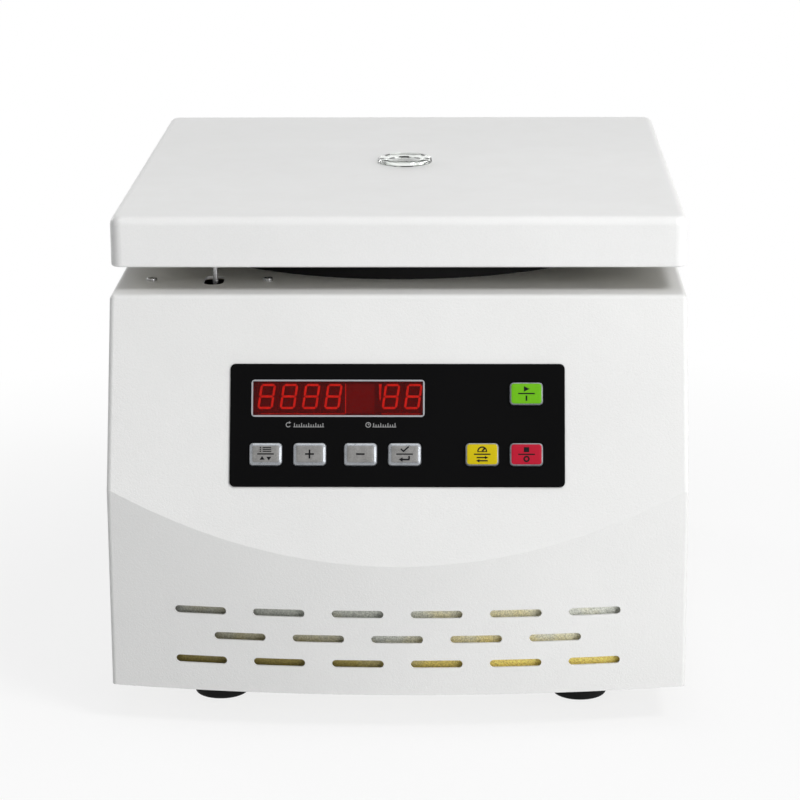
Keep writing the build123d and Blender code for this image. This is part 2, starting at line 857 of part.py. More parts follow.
# Tubes standing in the sockets, and their caps
with BuildPart() as one_tube:
    Cylinder(tube_radius, tube_length, align=(Align.CENTER, Align.CENTER, Align.MIN))
    fillet(one_tube.edges().group_by(Axis.Z)[0], tube_round)
    with Locations((0, 0, tube_wall)):
        Cylinder(
            tube_radius - tube_wall, tube_length, align=(Align.CENTER, Align.CENTER, Align.MIN),
            mode=Mode.SUBTRACT,
        )

with BuildPart() as sample_tubes:
    add([one_tube.part.moved(place) for place in socket_places])
save(sample_tubes, "sample_tubes")

with BuildPart() as one_cap:
    with Locations((0, 0, tube_length + cap_top)):
        Cylinder(cap_radius, cap_height, align=(Align.CENTER, Align.CENTER, Align.MAX))
    fillet(one_cap.edges().group_by(Axis.Z)[-1], cap_round)
    with Locations((0, 0, tube_length)):
        Cylinder(
            tube_radius + screw_play, cap_height, align=(Align.CENTER, Align.CENTER, Align.MAX),
            mode=Mode.SUBTRACT,
        )

with BuildPart() as tube_caps:
    add([one_cap.part.moved(place) for place in socket_places])
save(tube_caps, "tube_caps")

# Grooved nut that holds the rotor on its hub
with BuildPart() as rotor_nut:
    with Locations((0, y_axis, z_hub)):
        Cylinder(rotor_nut_radius, rotor_nut_height, align=(Align.CENTER, Align.CENTER, Align.MIN))
        Cylinder(
            shaft_radius + shaft_play, rotor_nut_height - rotor_nut_roof,
            align=(Align.CENTER, Align.CENTER, Align.MIN), mode=Mode.SUBTRACT,
        )
        with PolarLocations(rotor_nut_radius, rotor_nut_grip_count):
            Cylinder(rotor_nut_grip_radius, 4 * rotor_nut_height, mode=Mode.SUBTRACT)
save(rotor_nut, "rotor_nut")

# Lid: a deep tray, its inner plate, the window and the tube between them
def lid_block(inset):
    """The lid as a closed block, with its sides and top set in by inset."""
    with BuildPart() as block:
        with BuildSketch(Plane.XY.offset(lid_bottom)):
            with Locations((0, y_lid_middle)):
                RectangleRounded(cabinet_width - 2 * inset, lid_depth - 2 * inset, lid_corner_radius - inset)
        extrude(amount=lid_height - inset)
        fillet(block.edges().group_by(Axis.Z)[-1], lid_edge_radius - inset)
    return block.part


lid_outside = lid_block(0)
lid_inside = lid_block(sheet)
with BuildPart() as lid_shell:
    add(lid_outside)
    fillet(lid_shell.edges().group_by(Axis.Z)[0], lid_rim_radius)
    add(lid_inside, mode=Mode.SUBTRACT)
    with Locations((0, y_axis, lid_top)):
        Cylinder(port_bore, 4 * sheet, mode=Mode.SUBTRACT)
    with Locations(*lid_screw_places):
        Cylinder(screw_shank_radius + screw_play, 4 * sheet, rotation=(90, 0, 0), mode=Mode.SUBTRACT)
save(lid_shell, "lid_shell")

with BuildPart() as lid_liner:
    liner_edge = sheet + fit_gap
    with BuildSketch(Plane.XY.offset(liner_under)):
        with Locations((0, y_lid_middle)):
            RectangleRounded(
                cabinet_width - 2 * liner_edge, lid_depth - 2 * liner_edge, lid_corner_radius - liner_edge
            )
        with Locations((0, y_axis)):
            Circle(port_bore, mode=Mode.SUBTRACT)
        with Locations((latch_x, y_latch)):
            Circle(latch_pin_radius + screw_play, mode=Mode.SUBTRACT)
    extrude(amount=sheet)
save(lid_liner, "lid_liner")

with BuildPart() as port_window:
    with Locations((0, y_axis, lid_top)):
        Cylinder(port_radius, port_proud, align=(Align.CENTER, Align.CENTER, Align.MIN))
    chamfer(port_window.edges().group_by(Axis.Z)[-1], port_bevel)
    with Locations((0, y_axis, lid_top)):
        Cylinder(port_plug_radius, port_plug_depth, align=(Align.CENTER, Align.CENTER, Align.MAX))
    with Locations((0, y_axis, lid_top + port_proud)):
        Cylinder(
            port_dish, port_dish_depth, align=(Align.CENTER, Align.CENTER, Align.MAX), mode=Mode.SUBTRACT
        )
save(port_window, "port_window")

with BuildPart() as port_tube:
    with BuildSketch(Plane.XY.offset(liner_top)):
        with Locations((0, y_axis)):
            Circle(port_bore + port_tube_wall)
            Circle(port_bore, mode=Mode.SUBTRACT)
    extrude(amount=lid_top - sheet - liner_top)
save(port_tube, "port_tube")

# Latch pin under the lid: a stud through the inner plate, a collar, the pin and its head
with BuildPart() as latch_pin:
    with Locations((latch_x, y_latch, liner_under)):
        Cylinder(latch_pin_radius, latch_stud, align=(Align.CENTER, Align.CENTER, Align.MIN))
        Cylinder(latch_collar_radius, latch_collar_height, align=(Align.CENTER, Align.CENTER, Align.MAX))
    with Locations((latch_x, y_latch, z_latch_head)):
        Cylinder(
            latch_pin_radius, liner_under - z_latch_head, align=(Align.CENTER, Align.CENTER, Align.MIN)
        )
        Cylinder(latch_head_radius, latch_head_height, align=(Align.CENTER, Align.CENTER, Align.MIN))
    chamfer(latch_pin.edges().group_by(Axis.Z)[0], latch_head_bevel)
save(latch_pin, "latch_pin")

# Two hinges at the rear: a leaf on the lid's back, a leaf on the deck and a pin through both
with BuildPart() as hinge_leaves_lid:
    for x in hinge_rows:
        with Locations((x, y_lid_back, z_leaf)):
            Box(hinge_width, hinge_leaf, hinge_leaf_length, align=(Align.CENTER, Align.MIN, Align.MIN))
        with Locations((x, y_lid_back, z_hinge)):
            Box(knuckle, hinge_leaf, z_leaf - z_hinge, align=(Align.CENTER, Align.MIN, Align.MIN))
        with Locations((x, y_hinge, z_hinge)):
            Cylinder(hinge_barrel_radius, knuckle, rotation=(0, 90, 0))
            Cylinder(hinge_pin_radius + shaft_play, knuckle, rotation=(0, 90, 0), mode=Mode.SUBTRACT)
    with Locations(*lid_screw_places):
        Cylinder(screw_shank_radius + screw_play, 4 * hinge_leaf, rotation=(90, 0, 0), mode=Mode.SUBTRACT)
save(hinge_leaves_lid, "hinge_leaves_lid")

with BuildPart() as hinge_leaves_deck:
    for x in hinge_rows:
        with Locations((x, y_leaf, deck_height)):
            Box(hinge_width, hinge_leaf_length, hinge_leaf, align=(Align.CENTER, Align.MAX, Align.MIN))
        for x_end in (x - knuckle - fit_gap, x + knuckle + fit_gap):
            with Locations((x_end, y_leaf, deck_height)):
                Box(knuckle, y_hinge - y_leaf, hinge_leaf, align=(Align.CENTER, Align.MIN, Align.MIN))
            with Locations((x_end, y_hinge, z_hinge)):
                Cylinder(hinge_barrel_radius, knuckle, rotation=(0, 90, 0))
                Cylinder(hinge_pin_radius + shaft_play, knuckle, rotation=(0, 90, 0), mode=Mode.SUBTRACT)
    with Locations(*deck_screw_places):
        Cylinder(screw_shank_radius + screw_play, 4 * hinge_leaf, mode=Mode.SUBTRACT)
save(hinge_leaves_deck, "hinge_leaves_deck")

with BuildPart() as hinge_pins:
    for x in hinge_rows:
        with Locations((x, y_hinge, z_hinge)):
            Cylinder(hinge_pin_radius, hinge_width, rotation=(0, 90, 0))
        for side in (-1, 1):
            with Locations((x + side * hinge_width / 2, y_hinge, z_hinge)):
                Cylinder(
                    hinge_pin_head_radius, hinge_pin_head, rotation=(0, side * 90, 0),
                    align=(Align.CENTER, Align.CENTER, Align.MIN),
                )
save(hinge_pins, "hinge_pins")

screw_group([(x, y, z + hinge_leaf) for x, y, z in deck_screw_places], 0, "hinge_deck_screws")
screw_group([(x, y + hinge_leaf, z) for x, y, z in lid_screw_places], -90, "hinge_lid_screws")

# Lock under the deck: a bracket, a solenoid and the forked bolt that slides under the pin's head
with BuildPart() as lock_bracket:
    with BuildSketch(Plane.XY.offset(z_bracket)):
        with Locations((x_bracket, y_latch_hole)):
            Rectangle(lock_bracket_width, lock_bracket_depth)
        with Locations((x_latch_hole, y_latch_hole)):
            SlotOverall(
                latch_hole_length + 2 * lock_bracket_gap, latch_hole_width + 2 * lock_bracket_gap,
                rotation=90, mode=Mode.SUBTRACT,
            )
        with Locations(*[(x, y) for x, y, z in lock_screw_places]):
            Circle(screw_shank_radius + screw_play, mode=Mode.SUBTRACT)
    extrude(amount=sheet)
save(lock_bracket, "lock_bracket")

with BuildPart() as lock_solenoid:
    with Locations((x_solenoid, y_latch, z_bracket)):
        Box(solenoid_length, solenoid_size, solenoid_size, align=(Align.MIN, Align.CENTER, Align.MAX))
    with Locations((x_solenoid, y_latch, z_bolt)):
        Cylinder(
            plunger_radius + shaft_play, plunger_length, rotation=(0, 90, 0),
            align=(Align.CENTER, Align.CENTER, Align.MIN), mode=Mode.SUBTRACT,
        )
save(lock_solenoid, "lock_solenoid")

with BuildPart() as lock_bolt:
    with Locations((x_bolt, y_latch, z_bolt)):
        Box(
            lock_bolt_length, lock_bolt_width, lock_bolt_thickness,
            align=(Align.MIN, Align.CENTER, Align.CENTER),
        )
        Box(
            lock_slot_depth, 2 * (latch_pin_radius + lock_slot_play), 4 * lock_bolt_thickness,
            align=(Align.MIN, Align.CENTER, Align.CENTER), mode=Mode.SUBTRACT,
        )
    with Locations((x_bolt + lock_bolt_length, y_latch, z_bolt)):
        Cylinder(
            plunger_radius, plunger_length, rotation=(0, 90, 0),
            align=(Align.CENTER, Align.CENTER, Align.MIN),
        )
save(lock_bolt, "lock_bolt")

screw_group(lock_screw_places, 0, "lock_screws", lock_screw_length)

# Control panel: the overlay, the display window with its border, and what stands behind them
with BuildPart() as panel_overlay:
    with BuildSketch(slope_plane):
        with Locations((0, panel_middle)):
            RectangleRounded(panel_width, panel_height, panel_corner)
        with Locations(*key_places.values()):
            RectangleRounded(
                key_width + 2 * fit_gap, key_height + 2 * fit_gap, key_corner + fit_gap, mode=Mode.SUBTRACT
            )
        with Locations((display_x, display_v)):
            Rectangle(window_width, window_height, mode=Mode.SUBTRACT)
    extrude(amount=panel_thickness)
save(panel_overlay, "panel_overlay")

with BuildPart() as display_bezel:
    with BuildSketch(slope_plane.offset(panel_thickness)):
        with Locations((display_x, display_v)):
            RectangleRounded(display_width, display_height, display_corner)
            Rectangle(window_width, window_height, mode=Mode.SUBTRACT)
    extrude(amount=display_border_proud)
save(display_bezel, "display_bezel")

with BuildPart() as display_window:
    with BuildSketch(slope_plane.offset(panel_thickness)):
        with Locations((display_x, display_v)):
            Rectangle(window_width - 2 * window_fit, window_height - 2 * window_fit)
    extrude(amount=-(panel_thickness + sheet + window_flange_thickness))
    with BuildSketch(slope_plane.offset(-sheet)):
        with Locations((display_x, display_v)):
            Rectangle(window_width + 2 * window_flange, window_height + 2 * window_flange)
    extrude(amount=-window_flange_thickness)
save(display_window, "display_window")

with BuildPart() as digit_modules:
    with BuildSketch(slope_plane.offset(board_front)):
        for start, count in zip(digit_starts, digit_counts):
            for index in range(count):
                with Locations((start + index * digit_pitch, display_v + digit_raise)):
                    Rectangle(digit_width, digit_body_height)
    extrude(amount=-board_front - sheet - window_flange_thickness - digit_gap)
save(digit_modules, "digit_modules")

with BuildPart() as control_board:
    with BuildSketch(slope_plane.offset(board_front)):
        with Locations((0, panel_middle)):
            Rectangle(board_width, board_height)
    extrude(amount=-board_thickness)
save(control_board, "control_board")

with BuildPart() as board_standoffs:
    with BuildSketch(slope_plane.offset(board_front)):
        with Locations(*board_corners):
            Circle(standoff_radius)
    extrude(amount=board_distance)
save(board_standoffs, "board_standoffs")

with BuildPart() as key_switches:
    with BuildSketch(slope_plane.offset(board_front)):
        with Locations(*key_places.values()):
            Rectangle(switch_size, switch_size)
    extrude(amount=key_back - key_travel - switch_rest_gap - board_front)
save(key_switches, "key_switches")

# Keys: a bevelled cap through the panel, kept in by a flange behind the cover
for name, place in key_places.items():
    with BuildPart() as key:
        with BuildSketch(slope_plane.offset(key_back)):
            with Locations(place):
                RectangleRounded(key_width, key_height, key_corner)
        extrude(amount=panel_thickness + key_proud - key_back)
        chamfer(key.faces().sort_by(slope_axis)[-1].edges(), key_bevel)
        with BuildSketch(slope_plane.offset(key_back)):
            with Locations(place):
                Rectangle(key_width + 2 * key_flange, key_height + 2 * key_flange)
        extrude(amount=key_flange_thickness)
    save(key, name)

# Mains fittings in the rear panel
with BuildPart() as power_inlet:
    with BuildSketch(rear_plane):
        with Locations((-inlet_x, z_fittings)):
            Rectangle(inlet_flange_width, inlet_flange_height)
    extrude(amount=inlet_flange)
    with BuildSketch(rear_plane):
        with Locations((-inlet_x, z_fittings)):
            Rectangle(inlet_body_width, inlet_body_height)
    extrude(amount=-inlet_depth)
    with BuildSketch(rear_plane.offset(inlet_flange)):
        with Locations((-inlet_x, z_fittings)):
            Rectangle(inlet_well_width, inlet_well_height)
    extrude(amount=-inlet_well_depth, mode=Mode.SUBTRACT)
save(power_inlet, "power_inlet")

with BuildPart() as inlet_pins:
    with BuildSketch(rear_plane.offset(inlet_flange - inlet_well_depth)):
        for shift, rise in (
            (-inlet_pin_spacing / 2, -inlet_pin_offset),
            (0, inlet_pin_offset),
            (inlet_pin_spacing / 2, -inlet_pin_offset),
        ):
            with Locations((shift - inlet_x, z_fittings + rise)):
                Rectangle(inlet_pin_width, inlet_pin_height)
    extrude(amount=inlet_pin_length)
save(inlet_pins, "inlet_pins")

with BuildPart() as fuse_holder:
    with BuildSketch(rear_plane):
        with Locations((-fuse_x, z_fittings)):
            Circle(fuse_cap_radius)
    extrude(amount=rear_reach)
    with BuildSketch(rear_plane):
        with Locations((-fuse_x, z_fittings)):
            Circle(fuse_radius)
    extrude(amount=-fuse_length)
    with BuildSketch(rear_plane.offset(rear_reach)):
        with Locations((-fuse_x, z_fittings)):
            Rectangle(fuse_cap_radius, fuse_slot_width)
    extrude(amount=-fuse_slot_depth, mode=Mode.SUBTRACT)
save(fuse_holder, "fuse_holder")

with BuildPart() as rocker_frame:
    with BuildSketch(rear_plane):
        with Locations((-rocker_x, z_fittings)):
            Rectangle(
                rocker_body_width + 2 * rocker_flange_margin, rocker_body_height + 2 * rocker_flange_margin
            )
    extrude(amount=rocker_flange)
    with BuildSketch(rear_plane):
        with Locations((-rocker_x, z_fittings)):
            Rectangle(rocker_body_width, rocker_body_height)
    extrude(amount=-rocker_body_depth)
    with BuildSketch(rear_plane.offset(rocker_flange)):
        with Locations((-rocker_x, z_fittings)):
            Rectangle(rocker_width + 2 * fit_gap, rocker_height + 2 * rocker_well_play)
    extrude(amount=-rocker_flange - rocker_well_depth, mode=Mode.SUBTRACT)
    with Locations((rocker_x, y_rocker, z_fittings)):
        Cylinder(
            rocker_pivot_radius + shaft_play, rocker_width + 2 * (rocker_pivot_reach + fit_gap),
            rotation=(0, 90, 0), mode=Mode.SUBTRACT,
        )
save(rocker_frame, "rocker_frame")

# Rocker with stubs in its frame, modelled with its top pressed out
with BuildPart() as rocker_level:
    with BuildSketch(Plane.YZ):
        with BuildLine():
            Polyline(
                (rocker_front, -rocker_height / 2),
                (rocker_front - rocker_hollow, 0),
                (rocker_front, rocker_height / 2),
                (-rocker_back, rocker_height / 2 - rocker_taper),
                (-rocker_back, rocker_taper - rocker_height / 2),
                close=True,
            )
        make_face()
    extrude(amount=rocker_width / 2, both=True)
    Cylinder(rocker_pivot_radius, rocker_width + 2 * rocker_pivot_reach, rotation=(0, 90, 0))

with BuildPart() as rocker_switch:
    add(rocker_level.part.moved(Location((rocker_x, y_rocker, z_fittings), (-rocker_angle / 2, 0, 0))))
save(rocker_switch, "rocker_switch")

# Power supply on the base: a board with its parts, and a transformer
with BuildPart() as power_board:
    with Locations((power_board_x, y_power_board, base_top + power_board_lift)):
        Box(
            power_board_width, power_board_depth, power_board_thickness,
            align=(Align.CENTER, Align.CENTER, Align.MIN),
        )
        with GridLocations(
            power_board_width - 2 * power_board_corner_inset,
            power_board_depth - 2 * power_board_corner_inset, 2, 2,
        ):
            Cylinder(
                standoff_radius, power_board_lift, align=(Align.CENTER, Align.CENTER, Align.MAX)
            )
    with Locations((power_board_x, y_power_board, base_top + power_board_lift + power_board_thickness)):
        with GridLocations(power_board_width / 2, power_board_depth / 2, 2, 1):
            Cylinder(
                capacitor_radius, capacitor_height, align=(Align.CENTER, Align.CENTER, Align.MIN)
            )
        Box(
            heat_sink_thickness, power_board_depth / 2, heat_sink_height,
            align=(Align.CENTER, Align.CENTER, Align.MIN),
        )
save(power_board, "power_board")

with BuildPart() as transformer:
    with Locations((transformer_x, y_transformer, base_top)):
        Box(
            transformer_width, transformer_depth, transformer_foot,
            align=(Align.CENTER, Align.CENTER, Align.MIN),
        )
        Box(
            transformer_width, transformer_depth - 2 * transformer_coil, transformer_height,
            align=(Align.CENTER, Align.CENTER, Align.MIN),
        )
    with Locations((transformer_x, y_transformer, base_top + transformer_height / 2)):
        Box(
            transformer_width - 4 * transformer_coil, transformer_depth,
            transformer_height - 2 * transformer_coil,
        )
save(transformer, "transformer")
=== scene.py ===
from math import cos, pi, radians, sin, tan

import bmesh
import bpy
from mathutils import Matrix, Vector


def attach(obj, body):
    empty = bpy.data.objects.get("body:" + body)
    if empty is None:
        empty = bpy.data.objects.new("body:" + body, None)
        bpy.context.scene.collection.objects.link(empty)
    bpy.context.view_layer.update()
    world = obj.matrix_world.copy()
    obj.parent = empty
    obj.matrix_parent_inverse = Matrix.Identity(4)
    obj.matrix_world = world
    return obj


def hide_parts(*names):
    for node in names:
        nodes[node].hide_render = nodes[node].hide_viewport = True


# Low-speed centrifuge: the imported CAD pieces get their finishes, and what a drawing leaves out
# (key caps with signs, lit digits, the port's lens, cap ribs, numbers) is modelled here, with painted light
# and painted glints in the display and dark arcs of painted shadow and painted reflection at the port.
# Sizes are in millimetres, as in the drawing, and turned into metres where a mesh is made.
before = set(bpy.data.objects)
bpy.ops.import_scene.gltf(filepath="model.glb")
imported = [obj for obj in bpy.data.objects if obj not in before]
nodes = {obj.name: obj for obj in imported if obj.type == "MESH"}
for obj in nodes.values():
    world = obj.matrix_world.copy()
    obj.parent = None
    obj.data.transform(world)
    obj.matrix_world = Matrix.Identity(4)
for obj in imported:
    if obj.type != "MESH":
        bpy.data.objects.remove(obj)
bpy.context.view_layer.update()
MM = 0.001

# Sizes shared with the drawing
SLOPE = radians(21.8)
CREASE_Y = -201.6
CREASE_Z = 140.5
PANEL_PROUD = 0.8
AXIS_Y = 23.4


def add_object(name, data):
    """A new object of the given data, linked to the scene."""
    made = bpy.data.objects.new(name, data)
    bpy.context.scene.collection.objects.link(made)
    return made


# Camera, at the photograph's place
CAMERA_PLACE = (43.181, -1778.8, 610.943)
CAMERA_PITCH = radians(14.842)
CAMERA_YAW = radians(1.496)
CAMERA_ROLL = radians(-0.327)
CAMERA_LENS = 130.54
CAMERA_SENSOR = 36.0


def make_camera():
    """A level-headed view from the front, slightly above and right of the middle."""
    ahead = Vector((
        -sin(CAMERA_YAW) * cos(CAMERA_PITCH),
        cos(CAMERA_YAW) * cos(CAMERA_PITCH),
        -sin(CAMERA_PITCH),
    ))
    level = Vector((cos(CAMERA_YAW), sin(CAMERA_YAW), 0))
    upward = level.cross(ahead)
    right = cos(CAMERA_ROLL) * level + sin(CAMERA_ROLL) * upward
    up = cos(CAMERA_ROLL) * upward - sin(CAMERA_ROLL) * level
    turn = Matrix((right, up, -ahead)).transposed().to_4x4()
    data = bpy.data.cameras.new("photo_view")
    data.lens = CAMERA_LENS
    data.sensor_width = CAMERA_SENSOR
    camera = add_object("photo_view", data)
    camera.matrix_world = Matrix.Translation(Vector(CAMERA_PLACE) * MM) @ turn
    bpy.context.scene.camera = camera


make_camera()
bpy.context.scene.view_settings.view_transform = "Standard"


# Shader building blocks
NOISE_LOW = 0.3
NOISE_HIGH = 0.7
RUBBED_PAINT = (0.55, 0.55, 0.54)
RUBBED_METAL = (0.85, 0.85, 0.85)
DUST_ON_PAINT = (0.62, 0.60, 0.56)
DUST_ON_PLASTIC = (0.45, 0.44, 0.42)
PAINT_DUST = 0.10
PAINT_EDGE = 0.0006
PLAIN_EDGE = 0.0004
PAINT_BUMP = 0.0002
PLASTIC_BUMP = 0.00006
METAL_BUMP = 0.00005
FLAKE_BUMP = 0.00004
ACRYLIC_IOR = 1.49
WINDOW_IOR = 1.16


def join(tree, source, target):
    tree.links.new(source, target)


def value_node(tree, kind, *inputs, **settings):
    """Adds a node, sets its options, then fills or links its inputs in order."""
    node = tree.nodes.new(kind)
    for name, setting in settings.items():
        setattr(node, name, setting)
    for index, entry in enumerate(inputs):
        if isinstance(entry, bpy.types.NodeSocket):
            join(tree, entry, node.inputs[index])
        else:
            node.inputs[index].default_value = entry
    return node


def maths(tree, operation, *inputs):
    return value_node(tree, "ShaderNodeMath", *inputs, operation=operation).outputs[0]


def fade(tree, value, low, high, to_low=0.0, to_high=1.0):
    """Maps low..high to to_low..to_high, held at both ends."""
    return value_node(tree, "ShaderNodeMapRange", value, low, high, to_low, to_high).outputs[0]


def times(tree, first, second):
    return maths(tree, "MULTIPLY", first, second)


def tint(tree, factor, first, second):
    """A colour between first and second."""
    node = tree.nodes.new("ShaderNodeMix")
    node.data_type = "RGBA"
    for socket, entry in ((node.inputs[0], factor), (node.inputs[6], first), (node.inputs[7], second)):
        if isinstance(entry, bpy.types.NodeSocket):
            join(tree, entry, socket)
        else:
            socket.default_value = (*entry, 1.0)
    return node.outputs[2]


def spread(tree, value, to_low=0.0, to_high=1.0):
    """Stretches the middle of a noise over the whole range."""
    return fade(tree, value, NOISE_LOW, NOISE_HIGH, to_low, to_high)


def blended(tree, first, second, share):
    """The given share of first, and second for the rest."""
    return maths(tree, "ADD", times(tree, first, share), times(tree, second, 1 - share))


def object_place(tree):
    return tree.nodes.new("ShaderNodeTexCoord").outputs["Object"]


def noise(tree, place, scale, detail=2.0, roughness=0.5):
    node = tree.nodes.new("ShaderNodeTexNoise")
    join(tree, place, node.inputs["Vector"])
    if isinstance(scale, bpy.types.NodeSocket):
        join(tree, scale, node.inputs["Scale"])
    else:
        node.inputs["Scale"].default_value = scale
    node.inputs["Detail"].default_value = detail
    node.inputs["Roughness"].default_value = roughness
    return node.outputs["Fac"]


def effect_group(name, outputs, **inputs):
    """A shader group with named number inputs and outputs, and the object's own coordinates."""
    group = bpy.data.node_groups.new(name, "ShaderNodeTree")
    for label, default in inputs.items():
        label = label.replace("_", " ")
        socket = group.interface.new_socket(label, in_out="INPUT", socket_type="NodeSocketFloat")
        socket.default_value = default
    for label in outputs:
        group.interface.new_socket(label, in_out="OUTPUT", socket_type="NodeSocketFloat")
    start = group.nodes.new("NodeGroupInput")
    end = group.nodes.new("NodeGroupOutput")
    return group, start, end, object_place(group)


def make_powder_grain():
    """Orange-peel and fine grain of a powder coat: Height for bump, Shade for colour and gloss."""
    group, start, end, place = effect_group(
        "powder_grain", ["Height", "Shade"], Peel_Scale=760.0, Grain_Scale=1500.0
    )
    peel = noise(group, place, start.outputs["Peel Scale"], 1.0)
    grain = noise(group, place, start.outputs["Grain Scale"], 2.0, 0.65)
    cloud = noise(group, place, 9.0, 3.0)
    join(group, blended(group, peel, grain, 0.45), end.inputs["Height"])
    join(group, blended(group, grain, cloud, 0.45), end.inputs["Shade"])
    return group


def make_edge_wear():
    """How near a sharp edge a point lies, broken up by noise."""
    group, start, end, place = effect_group("edge_wear", ["Mask"], Reach=0.0008, Breakup=260.0)
    bevel = value_node(group, "ShaderNodeBevel", start.outputs["Reach"], samples=4).outputs[0]
    surface = group.nodes.new("ShaderNodeNewGeometry").outputs["Normal"]
    agree = value_node(group, "ShaderNodeVectorMath", bevel, surface, operation="DOT_PRODUCT")
    edge = fade(group, agree.outputs["Value"], 0.999, 0.86)
    broken = fade(group, noise(group, place, start.outputs["Breakup"], 4.0, 0.6), 0.42, 0.62)
    join(group, times(group, edge, broken), end.inputs["Mask"])
    return group


def make_settled_dust():
    """Faint dust on faces that look up, thicker in patches."""
    group, start, end, place = effect_group("settled_dust", ["Mask"], Amount=0.3)
    surface = group.nodes.new("ShaderNodeNewGeometry").outputs["Normal"]
    upward = value_node(group, "ShaderNodeSeparateXYZ", surface).outputs["Z"]
    facing = fade(group, upward, 0.35, 0.95)
    patches = fade(group, noise(group, place, 38.0, 6.0, 0.7), 0.35, 0.75)
    mask = times(group, times(group, facing, patches), start.outputs["Amount"])
    join(group, mask, end.inputs["Mask"])
    return group


def make_brushed_lines():
    """Fine scratches drawn out along one way: the stretch inputs are the noise scale along X, Y and Z."""
    group, start, end, place = effect_group(
        "brushed_lines", ["Height", "Shade"], Across_X=900.0, Across_Y=900.0, Across_Z=20.0
    )
    stretch = value_node(group, "ShaderNodeCombineXYZ", *start.outputs[:3]).outputs[0]
    drawn = value_node(group, "ShaderNodeVectorMath", place, stretch, operation="MULTIPLY").outputs[0]
    lines = noise(group, drawn, 1.0, 3.0, 0.6)
    smudge = noise(group, place, 22.0, 4.0, 0.6)
    join(group, lines, end.inputs["Height"])
    join(group, blended(group, lines, smudge, 0.6), end.inputs["Shade"])
    return group


def make_turned_rings():
    """Rings of a lathe tool or a spinning lap about the rotor's axis."""
    group, start, end, place = effect_group("turned_rings", ["Height", "Shade"], Pitch_Scale=900.0)
    parts = value_node(group, "ShaderNodeSeparateXYZ", place)
    across = maths(group, "SUBTRACT", parts.outputs["Y"], AXIS_Y * MM)
    sideways = parts.outputs["X"]
    squares = maths(group, "ADD", times(group, sideways, sideways), times(group, across, across))
    radius = maths(group, "SQRT", squares)
    ring = value_node(group, "ShaderNodeCombineXYZ", radius, parts.outputs["Z"], 0.0).outputs[0]
    lines = noise(group, ring, start.outputs["Pitch Scale"], 2.0, 0.6)
    smudge = noise(group, place, 30.0, 4.0, 0.6)
    join(group, lines, end.inputs["Height"])
    join(group, blended(group, lines, smudge, 0.5), end.inputs["Shade"])
    return group


POWDER_GRAIN = make_powder_grain()
EDGE_WEAR = make_edge_wear()
SETTLED_DUST = make_settled_dust()
BRUSHED_LINES = make_brushed_lines()
TURNED_RINGS = make_turned_rings()

# Finishes, kept by name: each family of materials is a function
finish = {}


def start_material(name, base, roughness, metallic=0.0, specular=0.5):
    """Starts a finish: its tree and shader, with the plain values on the shader's own sockets."""
    material = bpy.data.materials.new(name)
    material.use_nodes = True
    tree = material.node_tree
    shader = tree.nodes["Principled BSDF"]
    shader.inputs["Base Color"].default_value = (*base, 1.0)
    shader.inputs["Roughness"].default_value = roughness
    shader.inputs["Metallic"].default_value = metallic
    shader.inputs["Specular IOR Level"].default_value = specular
    material.diffuse_color = (*base, 1.0)
    finish[name] = material
    return tree, shader


def place_group(tree, group, **inputs):
    node = tree.nodes.new("ShaderNodeGroup")
    node.node_tree = group
    for label, number in inputs.items():
        node.inputs[label.replace("_", " ")].default_value = number
    return node


def add_bump(tree, shader, height, strength, distance):
    bump = tree.nodes.new("ShaderNodeBump")
    bump.inputs["Strength"].default_value = strength
    bump.inputs["Distance"].default_value = distance
    join(tree, height, bump.inputs["Height"])
    join(tree, bump.outputs[0], shader.inputs["Normal"])


def mottled(tree, factor, base, dark, light=1.0):
    """The base colour, made darker or lighter by factor."""
    lighter = tuple(min(1.0, light * part) for part in base)
    return tint(tree, factor, tuple(dark * part for part in base), lighter)


def rubbed(tree, colour, reach, share, pale):
    """The colour, paler along worn edges."""
    wear = place_group(tree, EDGE_WEAR, Reach=reach)
    return tint(tree, times(tree, wear.outputs["Mask"], share), colour, pale)


def dusted(tree, colour, amount, dust):
    """The colour under settled dust."""
    return tint(tree, place_group(tree, SETTLED_DUST, Amount=amount).outputs["Mask"], colour, dust)


def dress(tree, shader, colour, gloss):
    """Leads a varying colour and roughness into a shader."""
    join(tree, colour, shader.inputs["Base Color"])
    join(tree, gloss, shader.inputs["Roughness"])


def powder_paint(name, base, roughness=0.5, grain=0.5):
    """Powder coat over sheet steel, with faint dust and slightly dulled edges."""
    tree, shader = start_material(name, base, roughness, specular=0.35)
    powder = place_group(tree, POWDER_GRAIN)
    shade = powder.outputs["Shade"]
    colour = mottled(tree, spread(tree, shade), base, 0.95, 1.03)
    colour = rubbed(tree, colour, PAINT_EDGE, 0.25, RUBBED_PAINT)
    colour = dusted(tree, colour, PAINT_DUST, DUST_ON_PAINT)
    dress(tree, shader, colour, spread(tree, shade, roughness - 0.06, roughness + 0.08))
    add_bump(tree, shader, powder.outputs["Height"], grain, PAINT_BUMP)


def moulded(name, base, roughness, specular=0.5, grain=0.2, wear_tint=None, dust_amount=0.06):
    """Moulded plastic or film: fine grain, faint dust, and paler rubbed edges where asked."""
    tree, shader = start_material(name, base, roughness, specular=specular)
    powder = place_group(tree, POWDER_GRAIN, Peel_Scale=700.0, Grain_Scale=2600.0)
    shade = powder.outputs["Shade"]
    colour = mottled(tree, spread(tree, shade), base, 0.88, 1.12)
    if wear_tint:
        colour = rubbed(tree, colour, PLAIN_EDGE, 0.5, wear_tint)
    colour = dusted(tree, colour, dust_amount, DUST_ON_PLASTIC)
    dress(tree, shader, colour, spread(tree, shade, roughness - 0.05, roughness + 0.08))
    add_bump(tree, shader, powder.outputs["Height"], grain, PLASTIC_BUMP)


